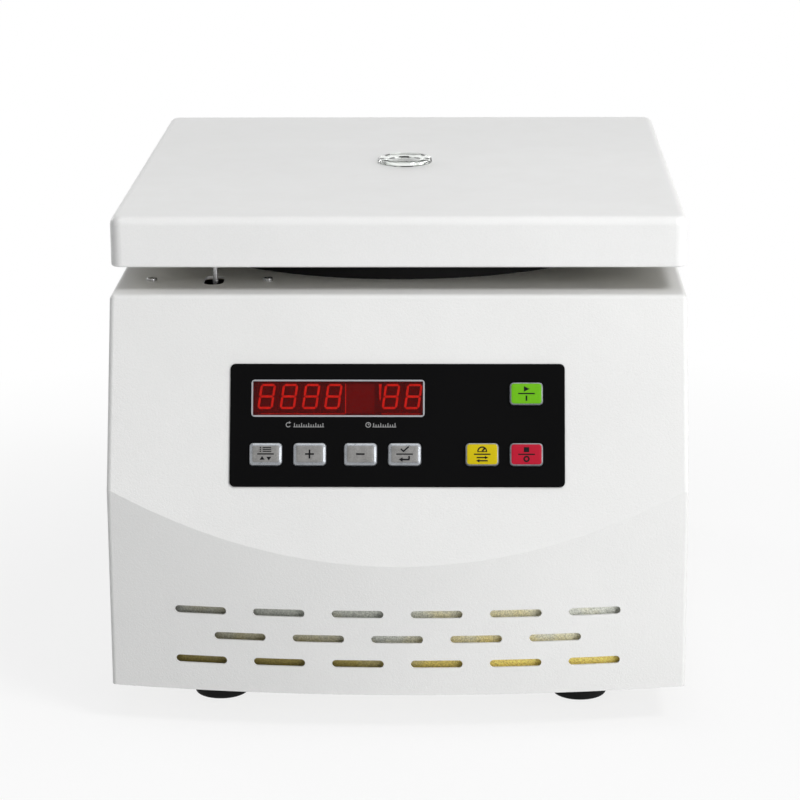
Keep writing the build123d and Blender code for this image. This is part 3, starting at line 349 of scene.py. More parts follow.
def bare_metal(name, base, roughness, pattern, strength=0.15, dark=0.75, worn=0.4, **inputs):
    """Bright metal with the lines of how it was finished and paler worn edges."""
    tree, shader = start_material(name, base, roughness, metallic=1.0)
    lines = place_group(tree, pattern, **inputs)
    shade = lines.outputs["Shade"]
    colour = mottled(tree, spread(tree, shade), base, dark)
    colour = rubbed(tree, colour, PLAIN_EDGE, worn, RUBBED_METAL)
    dress(tree, shader, colour, spread(tree, shade, roughness - 0.06, roughness + 0.12))
    add_bump(tree, shader, lines.outputs["Height"], strength, METAL_BUMP)


# Places on the wall behind the slots, in metres from the machine's middle and from the table
WALL_TOP = 0.060
WALL_FOOT = 0.028
WALL_END = 0.113
SHADE_LEFT = -0.035
SHADE_RIGHT = 0.06
ZINC = (0.50, 0.51, 0.46)
STRAW = (0.62, 0.50, 0.14)


def chromate_wall():
    """Zinc plating that turns from pale grey to straw yellow, blotched and spangled, with painted shade on
    the left and low down and painted light on the right.
    """
    tree, shader = start_material("chromate_wall", (0.5, 0.45, 0.2), 0.5, metallic=0.35)
    place = object_place(tree)
    parts = value_node(tree, "ShaderNodeSeparateXYZ", place)
    blotch = noise(tree, place, 26.0, 3.0, 0.6)
    spangle = noise(tree, place, 1100.0, 3.0, 0.8)
    low_down = fade(tree, parts.outputs["Z"], WALL_TOP, WALL_FOOT)
    yellow = maths(tree, "MULTIPLY_ADD", low_down, 0.75, blotch)
    colour = tint(tree, fade(tree, yellow, 0.47, 0.95), ZINC, STRAW)
    # Painted light and shade: the wall's colour is scaled by place, darker on the left and low down and up
    # to twice as bright on the right.
    painted_light_high = fade(tree, parts.outputs["X"], -WALL_END, WALL_END, 0.84, 2.0)
    painted_light_low = fade(tree, parts.outputs["X"], SHADE_LEFT, SHADE_RIGHT, 0.22, 1.85)
    side = maths(tree, "MULTIPLY_ADD", maths(tree, "SUBTRACT", painted_light_low, painted_light_high), low_down, painted_light_high)
    speck = fade(tree, spangle, 0.35, 0.65, 0.55, 1.15)
    scaled = value_node(tree, "ShaderNodeVectorMath", colour, operation="SCALE")
    join(tree, times(tree, side, speck), scaled.inputs["Scale"])
    dress(tree, shader, scaled.outputs[0], spread(tree, spangle, 0.35, 0.65))
    add_bump(tree, shader, spangle, 0.5, PAINT_BUMP)


def clear_moulding(name, base, roughness, specular=0.5, through=1.0, ior=ACRYLIC_IOR, haze_scale=160.0):
    """Clear or tinted plastic with a faint haze of handling."""
    tree, shader = start_material(name, base, roughness, specular=specular)
    shader.inputs["Transmission Weight"].default_value = through
    shader.inputs["IOR"].default_value = ior
    haze = noise(tree, object_place(tree), haze_scale, 4.0, 0.6)
    join(tree, fade(tree, haze, 0.35, 0.7, roughness, roughness + 0.06), shader.inputs["Roughness"])


def lit_and_painted_glow(name, base, dim, bright, strength):
    """A surface that gives off its own light, patchy as light behind a moulding is: the lit digits, and
    also the painted light and painted glints of the display.
    """
    tree, shader = start_material(name, base, 0.5, specular=0.1)
    patches = noise(tree, object_place(tree), 420.0, 3.0, 0.65)
    join(tree, tint(tree, spread(tree, patches), dim, bright), shader.inputs["Emission Color"])
    shader.inputs["Emission Strength"].default_value = strength


def satin_silver(name, base, roughness, metallic):
    """Silver lacquer over a moulding: fine metallic flake under a satin surface."""
    tree, shader = start_material(name, base, roughness, metallic=metallic)
    place = object_place(tree)
    flake = noise(tree, place, 2400.0, 3.0, 0.75)
    cloud = noise(tree, place, 300.0, 2.0)
    shade = blended(tree, flake, cloud, 0.75)
    colour = mottled(tree, fade(tree, shade, 0.36, 0.64), base, 0.70, 1.30)
    dress(tree, shader, colour, spread(tree, shade, roughness - 0.05, roughness + 0.08))
    add_bump(tree, shader, flake, 0.12, FLAKE_BUMP)


# Every finish of the machine, and the pieces that have it
PAINT = (0.785, 0.785, 0.776)
# The lid's paint is the cabinet's powder coat made paler: painted light, so that the lid reads brighter
# than the cabinet.
LID_PAINT_WITH_PAINTED_LIGHT = (0.845, 0.845, 0.838)
STEEL = (0.62, 0.62, 0.63)
powder_paint("cabinet_paint", PAINT, 0.5, 0.9)
powder_paint("lid_paint", LID_PAINT_WITH_PAINTED_LIGHT, 0.45, 0.35)
bare_metal("plated_steel", (0.60, 0.58, 0.50), 0.4, BRUSHED_LINES, Across_X=30.0,
           Across_Z=900.0)
chromate_wall()
powder_paint("guard_primer", (0.16, 0.17, 0.18), 0.6, 0.5)
bare_metal("spun_steel", STEEL, 0.3, TURNED_RINGS, Pitch_Scale=700.0)
bare_metal("nut_steel", (0.50, 0.50, 0.51), 0.42, BRUSHED_LINES, strength=0.05, dark=0.88,
           worn=0.05, Across_X=60.0, Across_Y=60.0, Across_Z=900.0)
bare_metal("turned_steel", (0.66, 0.66, 0.67), 0.22, TURNED_RINGS, Pitch_Scale=1600.0)
bare_metal("anodised", (0.44, 0.46, 0.49), 0.50, TURNED_RINGS, Pitch_Scale=1200.0)
bare_metal("pin_steel", (0.50, 0.50, 0.51), 0.24, BRUSHED_LINES, Across_Z=500.0)
bare_metal("hinge_zinc", (0.62, 0.63, 0.64), 0.35, BRUSHED_LINES, Across_X=40.0,
           Across_Z=900.0)
bare_metal("screw_plate", (0.55, 0.55, 0.56), 0.25, BRUSHED_LINES, Across_Z=900.0)
powder_paint("cast_grey", (0.22, 0.23, 0.24), 0.55, 0.9)
moulded("rubber", (0.007, 0.007, 0.0075), 0.62, specular=0.15, grain=0.5, dust_amount=0.02)
moulded("overlay_film", (0.0040, 0.0040, 0.0042), 0.5, specular=0.015, grain=0.15,
        dust_amount=0.01)
moulded("print_grey", (0.30, 0.30, 0.30), 0.6, specular=0.1, grain=0.1)
moulded("bezel_line", (0.34, 0.35, 0.37), 0.35, grain=0.1)
moulded("module_face", (0.03, 0.028, 0.035), 0.45, grain=0.2)
clear_moulding("display_tint", (0.52, 0.020, 0.018), 0.02, through=0.93, ior=WINDOW_IOR,
               haze_scale=120.0)
# Painted light: these two glow in place of the dim light and the glints seen in the display window.
lit_and_painted_glow("painted_window_light", (0.05, 0.02, 0.02), (0.10, 0.06, 0.05), (0.17, 0.12, 0.10), 0.6)
lit_and_painted_glow("painted_edge_glints", (0.1, 0.02, 0.02), (0.45, 0.25, 0.15), (0.9, 0.5, 0.3), 1.2)
clear_moulding("port_clear", (0.90, 0.93, 0.90), 0.02, specular=0.2)
lit_and_painted_glow("lit_segment", (0.25, 0.02, 0.01), (0.62, 0.30, 0.14), (1.0, 0.68, 0.38), 1.02)
satin_silver("key_silver", (0.31, 0.325, 0.345), 0.28, 0.75)
moulded("key_green", (0.143, 0.445, 0.010), 0.42, specular=0.12, dust_amount=0.01)
moulded("key_yellow", (0.56, 0.44, 0.004), 0.42, specular=0.12, dust_amount=0.01)
moulded("key_red", (0.44, 0.010, 0.030), 0.42, specular=0.12, dust_amount=0.01)
satin_silver("key_grey", (0.215, 0.212, 0.206), 0.46, 0.4)
moulded("sign_ink", (0.008, 0.008, 0.009), 0.6, specular=0.08, grain=0.1, dust_amount=0.01)
clear_moulding("tube_plastic", (0.86, 0.90, 0.92), 0.25)
moulded("cap_plastic", (0.03, 0.10, 0.30), 0.38, wear_tint=(0.25, 0.35, 0.5))
moulded("white_plastic", (0.75, 0.75, 0.73), 0.45)
moulded("board_laminate", (0.02, 0.11, 0.05), 0.35)
moulded("black_moulding", (0.015, 0.015, 0.016), 0.42, wear_tint=(0.10, 0.10, 0.10))
moulded("coil_frame", (0.06, 0.055, 0.05), 0.5, grain=0.6)
bare_metal("pin_brass", (0.78, 0.66, 0.38), 0.25, BRUSHED_LINES, Across_Z=700.0)
finish_of_node = {
    "cabinet_paint": ["cabinet_cover", "side_panel_left", "side_panel_right", "rear_panel"],
    "lid_paint": ["lid_shell"],
    "plated_steel": ["base_plate", "motor_plate", "lock_bracket", "lid_liner"],
    "chromate_wall": ["front_liner"],
    "guard_primer": ["guard_ring", "support_posts"],
    "spun_steel": ["chamber_bowl"],
    "nut_steel": ["rotor_nut"],
    "turned_steel": ["motor_shaft", "drive_hub", "motor_bearings"],
    "anodised": ["rotor"],
    "pin_steel": ["latch_pin", "lock_bolt", "hinge_pins"],
    "hinge_zinc": ["hinge_leaves_lid", "hinge_leaves_deck"],
    "screw_plate": ["base_screws", "rear_screws", "hinge_deck_screws", "hinge_lid_screws", "lock_screws",
                    "foot_screws"],
    "cast_grey": ["motor_housing"],
    "rubber": ["feet", "chamber_gasket", "shaft_boot", "motor_dampers"],
    "overlay_film": ["panel_overlay"],
    "bezel_line": ["display_bezel"],
    "display_tint": ["display_window"],
    "port_clear": ["port_window"],
    "module_face": ["digit_modules", "key_switches", "board_standoffs"],
    "key_silver": ["key_menu", "key_plus", "key_minus", "key_enter", "key_mode", "key_stop", "key_start"],
    "tube_plastic": ["sample_tubes"],
    "cap_plastic": ["tube_caps"],
    "white_plastic": ["port_tube"],
    "board_laminate": ["control_board", "power_board"],
    "black_moulding": ["power_inlet", "rocker_frame", "rocker_switch", "fuse_holder"],
    "coil_frame": ["lock_solenoid", "transformer"],
    "pin_brass": ["inlet_pins"],
}
for material_name, members in finish_of_node.items():
    for member in members:
        worn_by = nodes[member].data.materials
        worn_by.clear()
        worn_by.append(finish[material_name])


# Mesh building, in millimetres
WELD = 1e-5
SHARP_ANGLE = radians(38)


def finish_mesh(work, name, smooth=False):
    """Closes a bmesh: outward faces, metres and, where asked, smooth shading with sharp edges kept."""
    bmesh.ops.remove_doubles(work, verts=work.verts, dist=WELD)
    bmesh.ops.recalc_face_normals(work, faces=work.faces)
    bmesh.ops.scale(work, vec=(MM, MM, MM), verts=work.verts)
    mesh = bpy.data.meshes.new(name)
    work.to_mesh(mesh)
    work.free()
    if smooth:
        mesh.shade_smooth()
        mesh.set_sharp_from_angle(angle=SHARP_ANGLE)
    return mesh


def link_made(name, mesh, body):
    """Puts a mesh that already has its finish in the scene, on its body."""
    piece = add_object(name, mesh)
    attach(piece, body)
    return piece


def link_piece(name, work, material, body, smooth=False):
    """Turns a bmesh into a piece with its finish, and puts it in the scene."""
    mesh = finish_mesh(work, name, smooth)
    mesh.materials.append(finish[material])
    return link_made(name, mesh, body)


def on_panel(x, v, s):
    """A point of the sloping panel: x across, v up the slope and s out of it."""
    return Vector((
        x,
        CREASE_Y + v * sin(SLOPE) - s * cos(SLOPE),
        CREASE_Z + v * cos(SLOPE) + s * sin(SLOPE),
    ))


def upright(x, y, z):
    return (x, y, z)


def skin(work, here, there):
    """Joins two equally long closed rows of points with faces."""
    for index in range(len(here)):
        after = (index + 1) % len(here)
        work.faces.new((here[index], here[after], there[after], there[index]))


def add_prism(work, outline, low, high, place=on_panel):
    """A flat plate between two heights, from a closed outline of (x, v) points."""
    under = [work.verts.new(place(x, v, low)) for x, v in outline]
    over = [work.verts.new(place(x, v, high)) for x, v in outline]
    work.faces.new(over)
    work.faces.new(under[::-1])
    skin(work, under, over)


def rounded_outline(width, height, radius, steps=6):
    """A rounded rectangle about the origin, anticlockwise."""
    corners = []
    for quarter, (side, end) in enumerate(((1, 1), (-1, 1), (-1, -1), (1, -1))):
        for step in range(steps + 1):
            turn = pi / 2 * (quarter + step / steps)
            corners.append((
                side * (width / 2 - radius) + radius * cos(turn),
                end * (height / 2 - radius) + radius * sin(turn),
            ))
    return corners


def moved(outline, x, v):
    return [(x + across, v + up) for across, up in outline]


def loft_rings(work, rings):
    """Skins a stack of equally long rings of points and closes both ends."""
    loops = [[work.verts.new(point) for point in ring] for ring in rings]
    for lower, upper in zip(loops, loops[1:]):
        skin(work, lower, upper)
    work.faces.new(loops[0][::-1])
    work.faces.new(loops[-1])


# Geometry nodes: each tree has named inputs, and its result is kept as a plain mesh
def copying_tree(name, **inputs):
    """An empty tree with named inputs, among them what is copied and its finish, and one output."""
    tree = bpy.data.node_groups.new(name, "GeometryNodeTree")
    for label, kind in {"Copied": "Object", "Finish": "Material", **inputs}.items():
        tree.interface.new_socket(label, in_out="INPUT", socket_type="NodeSocket" + kind)
    tree.interface.new_socket("Geometry", in_out="OUTPUT", socket_type="NodeSocketGeometry")
    return tree, tree.nodes.new("NodeGroupInput"), tree.nodes.new("NodeGroupOutput")


def copies_on(tree, points, start):
    """One instance of the chosen object on each point."""
    source = tree.nodes.new("GeometryNodeObjectInfo")
    join(tree, start.outputs["Copied"], source.inputs["Object"])
    copies = tree.nodes.new("GeometryNodeInstanceOnPoints")
    join(tree, points, copies.inputs["Points"])
    join(tree, source.outputs["Geometry"], copies.inputs["Instance"])
    return copies


def end_tree(tree, geometry, start, end):
    """Turns instances into faces and gives them their finish."""
    real = tree.nodes.new("GeometryNodeRealizeInstances")
    painted = tree.nodes.new("GeometryNodeSetMaterial")
    join(tree, geometry, real.inputs[0])
    join(tree, real.outputs[0], painted.inputs["Geometry"])
    join(tree, start.outputs["Finish"], painted.inputs["Material"])
    join(tree, painted.outputs[0], end.inputs[0])


def shape_from(tree, name, settings):
    """Runs a tree once with its own settings and returns the plain mesh."""
    carrier = add_object("carrier", bpy.data.meshes.new("carrier"))
    modifier = carrier.modifiers.new("shape", "NODES")
    modifier.node_group = tree
    for item in tree.interface.items_tree:
        if item.item_type == "SOCKET" and item.in_out == "INPUT":
            modifier[item.identifier] = settings[item.name]
    finished = carrier.evaluated_get(bpy.context.evaluated_depsgraph_get())
    mesh = bpy.data.meshes.new_from_object(finished)
    mesh.name = name
    carrier.modifiers.remove(modifier)
    bpy.data.objects.remove(carrier)
    return mesh


# Keys: a silver surround with a bevelled edge, a coloured face let into it and a printed sign
KEY_WIDTH = 18.4
KEY_HEIGHT = 12.7
KEY_CORNER = 2.0
KEY_FLANGE = 1.0
KEY_BACK = -2.9
KEY_FLANGE_TOP = -1.5
KEY_TOP = 2.8
KEY_EDGE_DROP = 1.0
KEY_EDGE_ROUND = 0.28
KEY_FACE_SINK = 0.45
KEY_LIP = 0.06
SILVER_GROOVE = 0.26
COLOUR_GROOVE = 0.12
KEY_FACE_CROWN = 0.12
SILVER_BEVEL = 1.45
COLOUR_BEVEL = 0.52
KEY_FACE_EDGE = 0.12
KEY_FACE_SHOULDER = 1.2
KEY_FACE_FLAT = 3.4
KEY_FACE_BOTTOM = KEY_TOP - 0.6
KEY_LEAST_CORNER = 0.4
LOWER_ROW = 19.7
UPPER_ROW = 54.4
KEYS = {
    "key_menu": (-74.7, LOWER_ROW, "key_grey"),
    "key_plus": (-49.7, LOWER_ROW, "key_grey"),
    "key_minus": (-20.8, LOWER_ROW, "key_grey"),
    "key_enter": (4.3, LOWER_ROW, "key_grey"),
    "key_mode": (48.3, LOWER_ROW, "key_yellow"),
    "key_stop": (73.4, LOWER_ROW, "key_red"),
    "key_start": (73.4, UPPER_ROW, "key_green"),
}


def key_ring(x, v, inset, s):
    """The key's outline drawn in by inset, at height s of the panel."""
    corner = max(KEY_LEAST_CORNER, KEY_CORNER - inset * 0.75)
    outline = rounded_outline(KEY_WIDTH - 2 * inset, KEY_HEIGHT - 2 * inset, corner)
    return [on_panel(across, up, s) for across, up in moved(outline, x, v)]


def make_key_surround(name, x, v, bevel):
    """The cap's moulded body: a flange behind the panel, straight sides and a bevelled rim."""
    work = bmesh.new()
    shoulder = KEY_TOP - KEY_EDGE_DROP * min(1.0, bevel)
    rings = [
        key_ring(x, v, -KEY_FLANGE, KEY_BACK),
        key_ring(x, v, -KEY_FLANGE, KEY_FLANGE_TOP),
        key_ring(x, v, 0, KEY_FLANGE_TOP),
        key_ring(x, v, 0, shoulder - KEY_EDGE_ROUND),
        key_ring(x, v, 0.3 * KEY_EDGE_ROUND, shoulder - 0.3 * KEY_EDGE_ROUND),
        key_ring(x, v, KEY_EDGE_ROUND, shoulder + 0.1 * KEY_EDGE_ROUND),
        key_ring(x, v, bevel - 0.5 * KEY_EDGE_ROUND, KEY_TOP - 0.3 * KEY_EDGE_ROUND),
        key_ring(x, v, bevel, KEY_TOP),
        key_ring(x, v, bevel + KEY_LIP, KEY_TOP - KEY_FACE_SINK),
    ]
    loft_rings(work, rings)
    piece = link_piece(name + "_surround", work, "key_silver", name, smooth=True)
    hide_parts(name)


def make_key_face(name, x, v, bevel, groove, colour):
    """The slightly crowned plate that carries the sign."""
    work = bmesh.new()
    start = bevel + groove
    rings = [
        key_ring(x, v, start, KEY_FACE_BOTTOM),
        key_ring(x, v, start, KEY_TOP - 0.5 * KEY_FACE_EDGE),
        key_ring(x, v, start + KEY_FACE_EDGE, KEY_TOP),
        key_ring(x, v, start + KEY_FACE_SHOULDER, KEY_TOP + 0.6 * KEY_FACE_CROWN),
        key_ring(x, v, start + KEY_FACE_FLAT, KEY_TOP + KEY_FACE_CROWN),
    ]
    loft_rings(work, rings)
    link_piece(name + "_face", work, colour, name, smooth=True)


def bar_outline(x, v, width, height):
    half, rise = width / 2, height / 2
    return moved([(-half, -rise), (half, -rise), (half, rise), (-half, rise)], x, v)


def stroke(start, end, thickness):
    """A straight pen stroke with square ends."""
    along = (Vector(end) - Vector(start)).normalized()
    side = Vector((-along.y, along.x)) * thickness / 2
    ends = [Vector(start) - side, Vector(end) - side, Vector(end) + side, Vector(start) + side]
    return [tuple(point) for point in ends]


def arc_band(centre, radius, thickness, start, end, steps=14):
    """A bent stroke between two angles in degrees, anticlockwise."""
    turns = [radians(start + (end - start) * step / steps) for step in range(steps + 1)]
    outer, inner = radius + thickness / 2, radius - thickness / 2
    there = [(outer * cos(turn), outer * sin(turn)) for turn in turns]
    back = [(inner * cos(turn), inner * sin(turn)) for turn in reversed(turns)]
    return moved(there + back, *centre)


# Signs: plain symbols of the kind that any such keypad uses, above and below a rule
RULE_WIDTH = 8.4
SIGN_RISE = 2.35
SIGN_SCALE = 1.12
INK = 0.84
FINE_INK = 0.66
SIGN_RELIEF = 0.06
SIGN_LOW = KEY_TOP
SIGN_HIGH = KEY_TOP + KEY_FACE_CROWN + SIGN_RELIEF
# A ring drawn as a bent stroke stops just short of closing, so that it stays one outline
RING = (0, 359)


def two_signs(upper, lower):
    """One sign above the rule and one below it."""
    rule = bar_outline(0, 0, RULE_WIDTH, FINE_INK)
    above = [moved(outline, 0, SIGN_RISE) for outline in upper]
    below = [moved(outline, 0, -SIGN_RISE) for outline in lower]
    return [rule] + above + below


def arrow_head(x, v, width, height):
    """A triangle that points the way of the sign of height."""
    return [(x - width / 2, v), (x + width / 2, v), (x, v + height)]


def side_arrow_head(x, v, length, height):
    return [(x, v - height / 2), (x + length, v), (x, v + height / 2)]


def sign_menu():
    rows = [bar_outline(0.7, row, 4.4, 0.52) for row in (-1, 0, 1)]
    dots = [bar_outline(-2.6, row, 0.75, 0.6) for row in (-1, 0, 1)]
    arrows = [arrow_head(-1.7, -0.6, 2.6, 1.9), arrow_head(1.7, 0.9, 2.6, -1.9)]
    return two_signs(rows + dots, arrows)


def sign_plus():
    return [bar_outline(0, 0, 4.5, INK), bar_outline(0, 1.3, INK, 1.95), bar_outline(0, -1.3, INK, 1.95)]


def sign_minus():
    return [bar_outline(0, 0, 4.3, INK)]


def sign_enter():
    tick = [(-2.2, 0.1), (-1.7, 0.6), (-0.6, -0.4), (1.9, 1.7), (2.4, 1.2), (-0.6, -1.4)]
    back = [
        bar_outline(0.75, -0.4, 3.7, INK),
        bar_outline(2.3, 0.65, INK, 1.5),
        side_arrow_head(-1.0, -0.4, -1.9, 2.3),
    ]
    return two_signs([tick], back)


def sign_mode():
    dial = [
        arc_band((0, -0.9), 2.2, FINE_INK, 0, 180),
        bar_outline(0, -1.05, 4.9, 0.42),
        stroke((0, -0.8), (1.2, 0.6), INK),
    ]
    swap_arrows = [
        bar_outline(-0.7, 0.65, 4.2, FINE_INK),
        side_arrow_head(1.4, 0.65, 1.7, 1.7),
        bar_outline(0.7, -0.95, 4.2, FINE_INK),
        side_arrow_head(-1.4, -0.95, -1.7, 1.7),
    ]
    return two_signs(dial, swap_arrows)


def sign_stop():
    """A square over a ring."""
    return two_signs([bar_outline(0, 0, 2.7, 2.5)], [arc_band((0, 0), 1.2, INK, *RING, 30)])


def sign_start():
    """A triangle over an upright line."""
    return two_signs([side_arrow_head(-1.3, 0, 2.9, 2.8)], [bar_outline(0, 0, INK, 2.6)])


SIGNS = {
    "key_menu": sign_menu, "key_plus": sign_plus, "key_minus": sign_minus, "key_enter": sign_enter,
    "key_mode": sign_mode, "key_stop": sign_stop, "key_start": sign_start,
}


def make_sign(name, x, v):
    work = bmesh.new()
    for outline in SIGNS[name]():
        enlarged = [(SIGN_SCALE * across, SIGN_SCALE * up) for across, up in outline]
        add_prism(work, moved(enlarged, x, v), SIGN_LOW, SIGN_HIGH)
    link_piece(name + "_sign", work, "sign_ink", name)


for key_name, (key_x, key_v, key_colour) in KEYS.items():
    is_silver = key_colour == "key_grey"
    key_bevel = SILVER_BEVEL if is_silver else COLOUR_BEVEL
    key_groove = SILVER_GROOVE if is_silver else COLOUR_GROOVE
    make_key_surround(key_name, key_x, key_v, key_bevel)
    make_key_face(key_name, key_x, key_v, key_bevel, key_groove, key_colour)
    make_sign(key_name, key_x, key_v)

# Display: lit digits in front of their modules, with painted light and painted glints about them. A group
# is its first module's x and its count, and an edge line, a painted highlight, is its middle and its width.
DIGIT_PITCH = 12.7
DIGIT_GROUPS = ((-74.3, 4), (-3.3, 2))
DIGIT_SHIFT = -0.4
DIGIT_MIDDLE = 53.25
DIGIT_HALF_HEIGHT = 6.6
DIGIT_HALF_WIDTH = 3.75
DIGIT_LEAN = tan(radians(8))
SEGMENT = 1.25
SEGMENT_GAP = 0.16
DIGIT_FRONT = -3.0
DIGIT_RELIEF = 0.12
FIELD_X = -22.2
FIELD_WIDTH = 18.0
FIELD_HEIGHT = 17.0
FIELD_MIDDLE = DIGIT_MIDDLE - 1.2
GROUP_EDGE_X = -29.6
PAINTED_GLINT_X = -9.9
PAINTED_LIGHT_RELIEF = 0.08
FIELD_DEPTH = 0.35
FIELD_THICKNESS = 0.1
POINT_ACROSS = 4.9
POINT_DROP = 6.9
POINT_RADIUS = 0.35
POINT_WIDTH = 0.68
GROUP_EDGE_WIDTH = 0.42
EDGE_LINE_DROP = 10.0
EDGE_LINE_HEIGHT = 0.3
EDGE_LINES = ((-54.0, 48.0), (2.0, 22.0))


def segment_bar(start, end):
    """A six-sided bar between two ends, pointed at both."""
    along = (Vector(end) - Vector(start)).normalized()
    side = Vector((-along.y, along.x)) * SEGMENT / 2
    first = Vector(start) + along * SEGMENT_GAP
    last = Vector(end) - along * SEGMENT_GAP
    taper = along * SEGMENT / 2
    points = [first, first + taper - side, last - taper - side,
              last, last - taper + side, first + taper + side]
    return [(point.x, point.y) for point in points]


def lean(outline):
    return [(x + v * DIGIT_LEAN, v) for x, v in outline]


def add_digit(work):
    """One figure eight of seven leaning bars, about the panel's x of zero."""
    x, v = DIGIT_HALF_WIDTH, DIGIT_HALF_HEIGHT
    segments = [
        ((-x, v), (x, v)), ((x, v), (x, 0)), ((x, 0), (x, -v)), ((-x, -v), (x, -v)),
        ((-x, 0), (-x, -v)), ((-x, v), (-x, 0)), ((-x, 0), (x, 0)),
    ]
    for first, last in segments:
        bar = moved(lean(segment_bar(first, last)), 0, DIGIT_MIDDLE)
        add_prism(work, bar, DIGIT_FRONT, DIGIT_FRONT + DIGIT_RELIEF)


def make_row_tree():
    """Copies one object along X: geometry nodes with the first place, the step and the count."""
    tree, start, end = copying_tree("row_of_copies", First="Float", Step="Float", Count="Int")
    line = tree.nodes.new("GeometryNodeMeshLine")
    line.mode = "OFFSET"
    join(tree, start.outputs["Count"], line.inputs["Count"])
    for label, target in (("First", "Start Location"), ("Step", "Offset")):
        along_x = value_node(tree, "ShaderNodeCombineXYZ", start.outputs[label])
        join(tree, along_x.outputs[0], line.inputs[target])
    end_tree(tree, copies_on(tree, line.outputs[0], start).outputs[0], start, end)
    return tree


def make_lit_digits():
    """Both groups of lit figures, copied from one, as a piece each."""
    work = bmesh.new()
    add_digit(work)
    pattern = add_object("digit_pattern", finish_mesh(work, "digit_pattern"))
    row = make_row_tree()
    for group, (start, count) in zip(("speed", "time"), DIGIT_GROUPS):
        mesh = shape_from(row, group + "_digits", {
            "Copied": pattern, "First": (start + DIGIT_SHIFT) * MM, "Step": DIGIT_PITCH * MM,
            "Count": count, "Finish": finish["lit_segment"],
        })
        link_made(group + "_digits", mesh, "cabinet")
    bpy.data.objects.remove(pattern)


def make_display_painted_light():
    """Painted light in the display: the points and the paler field glow dimly in place of light through the
    red window, and a painted glint, a bar between the groups and the edge lines glow brighter as painted
    highlights.
    """
    dim = bmesh.new()
    low, high = DIGIT_FRONT, DIGIT_FRONT + PAINTED_LIGHT_RELIEF
    for start, count in DIGIT_GROUPS:
        for index in range(count):
            centre = (start + index * DIGIT_PITCH + POINT_ACROSS, DIGIT_MIDDLE - POINT_DROP)
            add_prism(dim, arc_band(centre, POINT_RADIUS, POINT_WIDTH, *RING, 10), low, high)
    field = bar_outline(FIELD_X, FIELD_MIDDLE, FIELD_WIDTH, FIELD_HEIGHT)
    add_prism(dim, field, low - FIELD_DEPTH, low - FIELD_DEPTH + FIELD_THICKNESS)
    link_piece("display_dim_parts", dim, "painted_window_light", "cabinet")
    bright = bmesh.new()
    wedge = [(PAINTED_GLINT_X - 0.35, DIGIT_MIDDLE - 2.0), (PAINTED_GLINT_X + 0.35, DIGIT_MIDDLE - 2.0),
             (PAINTED_GLINT_X + 0.85, DIGIT_MIDDLE + 7.2), (PAINTED_GLINT_X - 0.75, DIGIT_MIDDLE + 7.2)]
    add_prism(bright, wedge, low, high)
    add_prism(bright, bar_outline(GROUP_EDGE_X, FIELD_MIDDLE, GROUP_EDGE_WIDTH, FIELD_HEIGHT), low, high)
    for middle, width in EDGE_LINES:
        line = bar_outline(middle, DIGIT_MIDDLE - EDGE_LINE_DROP, width, EDGE_LINE_HEIGHT)
        add_prism(bright, line, low, high)
    link_piece("display_edge_glints", bright, "painted_edge_glints", "cabinet")


make_lit_digits()
make_display_painted_light()

# Small printed marks under the display: a turning arrow and a clock, each with a scale
CAPTION_V = 36.6
TICK_STEP = 1.35
TICK_WIDTH = 0.42
LONG_TICK = 2.0
SHORT_TICK = 1.2
TURNING_X = -62.0
CLOCK_X = -16.5
SPEED_TICKS = (-58.5, 13)
TIME_TICKS = (-13.4, 10)
PRINT_RELIEF = 0.04


def caption_scale(x, count):
    """A row of ticks, each third one taller."""
    ticks = []
    for index in range(count):
        height = SHORT_TICK if index % 3 else LONG_TICK
        ticks.append(bar_outline(x + index * TICK_STEP, CAPTION_V - 1.0 + height / 2, TICK_WIDTH, height))
    base = bar_outline(x + (count - 1) * TICK_STEP / 2, CAPTION_V - 1.2, count * TICK_STEP, 0.36)
    return ticks + [base]


def make_panel_print():
    work = bmesh.new()
    turning = [
        arc_band((TURNING_X, CAPTION_V), 1.25, 0.45, 60, 330),
        side_arrow_head(TURNING_X + 0.4, CAPTION_V + 1.3, 1.1, 1.5),
    ]
    clock = [
        arc_band((CLOCK_X, CAPTION_V), 1.35, 0.42, *RING, 24),
        bar_outline(CLOCK_X, CAPTION_V + 0.4, 0.36, 0.9),
        bar_outline(CLOCK_X + 0.35, CAPTION_V, 0.8, 0.36),
    ]
    for outline in turning + clock + caption_scale(*SPEED_TICKS) + caption_scale(*TIME_TICKS):
        add_prism(work, outline, PANEL_PROUD, PANEL_PROUD + PRINT_RELIEF)
    link_piece("panel_print", work, "print_grey", "cabinet")


make_panel_print()

# Clear port in the lid: a turned ring with a dished middle and a plug below
PORT_TOP = 291.6
PORT_SEAT = 288.1
PORT_FLOOR = 286.6
PORT_FOOT = 283.1
DISH_TOP = 289.6
DISH_RADIUS = 9.4
PLUG_RADIUS = 12.4
RIM_RADIUS = 17.0
NEARLY_ZERO = 0.001
PORT_STEPS = 72
# Arcs of painted shadow and painted reflection at the port
DISH_SHADE_RADIUS = 9.25
DISH_SHADE_WIDTH = 0.7
DISH_SHADE_LOW = 289.62
DISH_SHADE_HIGH = 290.25
RIM_SHADE_RADIUS = 17.16
RIM_SHADE_WIDTH = 0.28


def spin_profile(work, profile):
    """Turns a closed profile of (radius, height) points about the rotor's axis."""
    loops = []
    for step in range(PORT_STEPS):
        turn = 2 * pi * step / PORT_STEPS
        loops.append([
            work.verts.new((radius * cos(turn), AXIS_Y + radius * sin(turn), height))
            for radius, height in profile
        ])
    for here, there in zip(loops, loops[1:] + loops[:1]):
        skin(work, here, there)


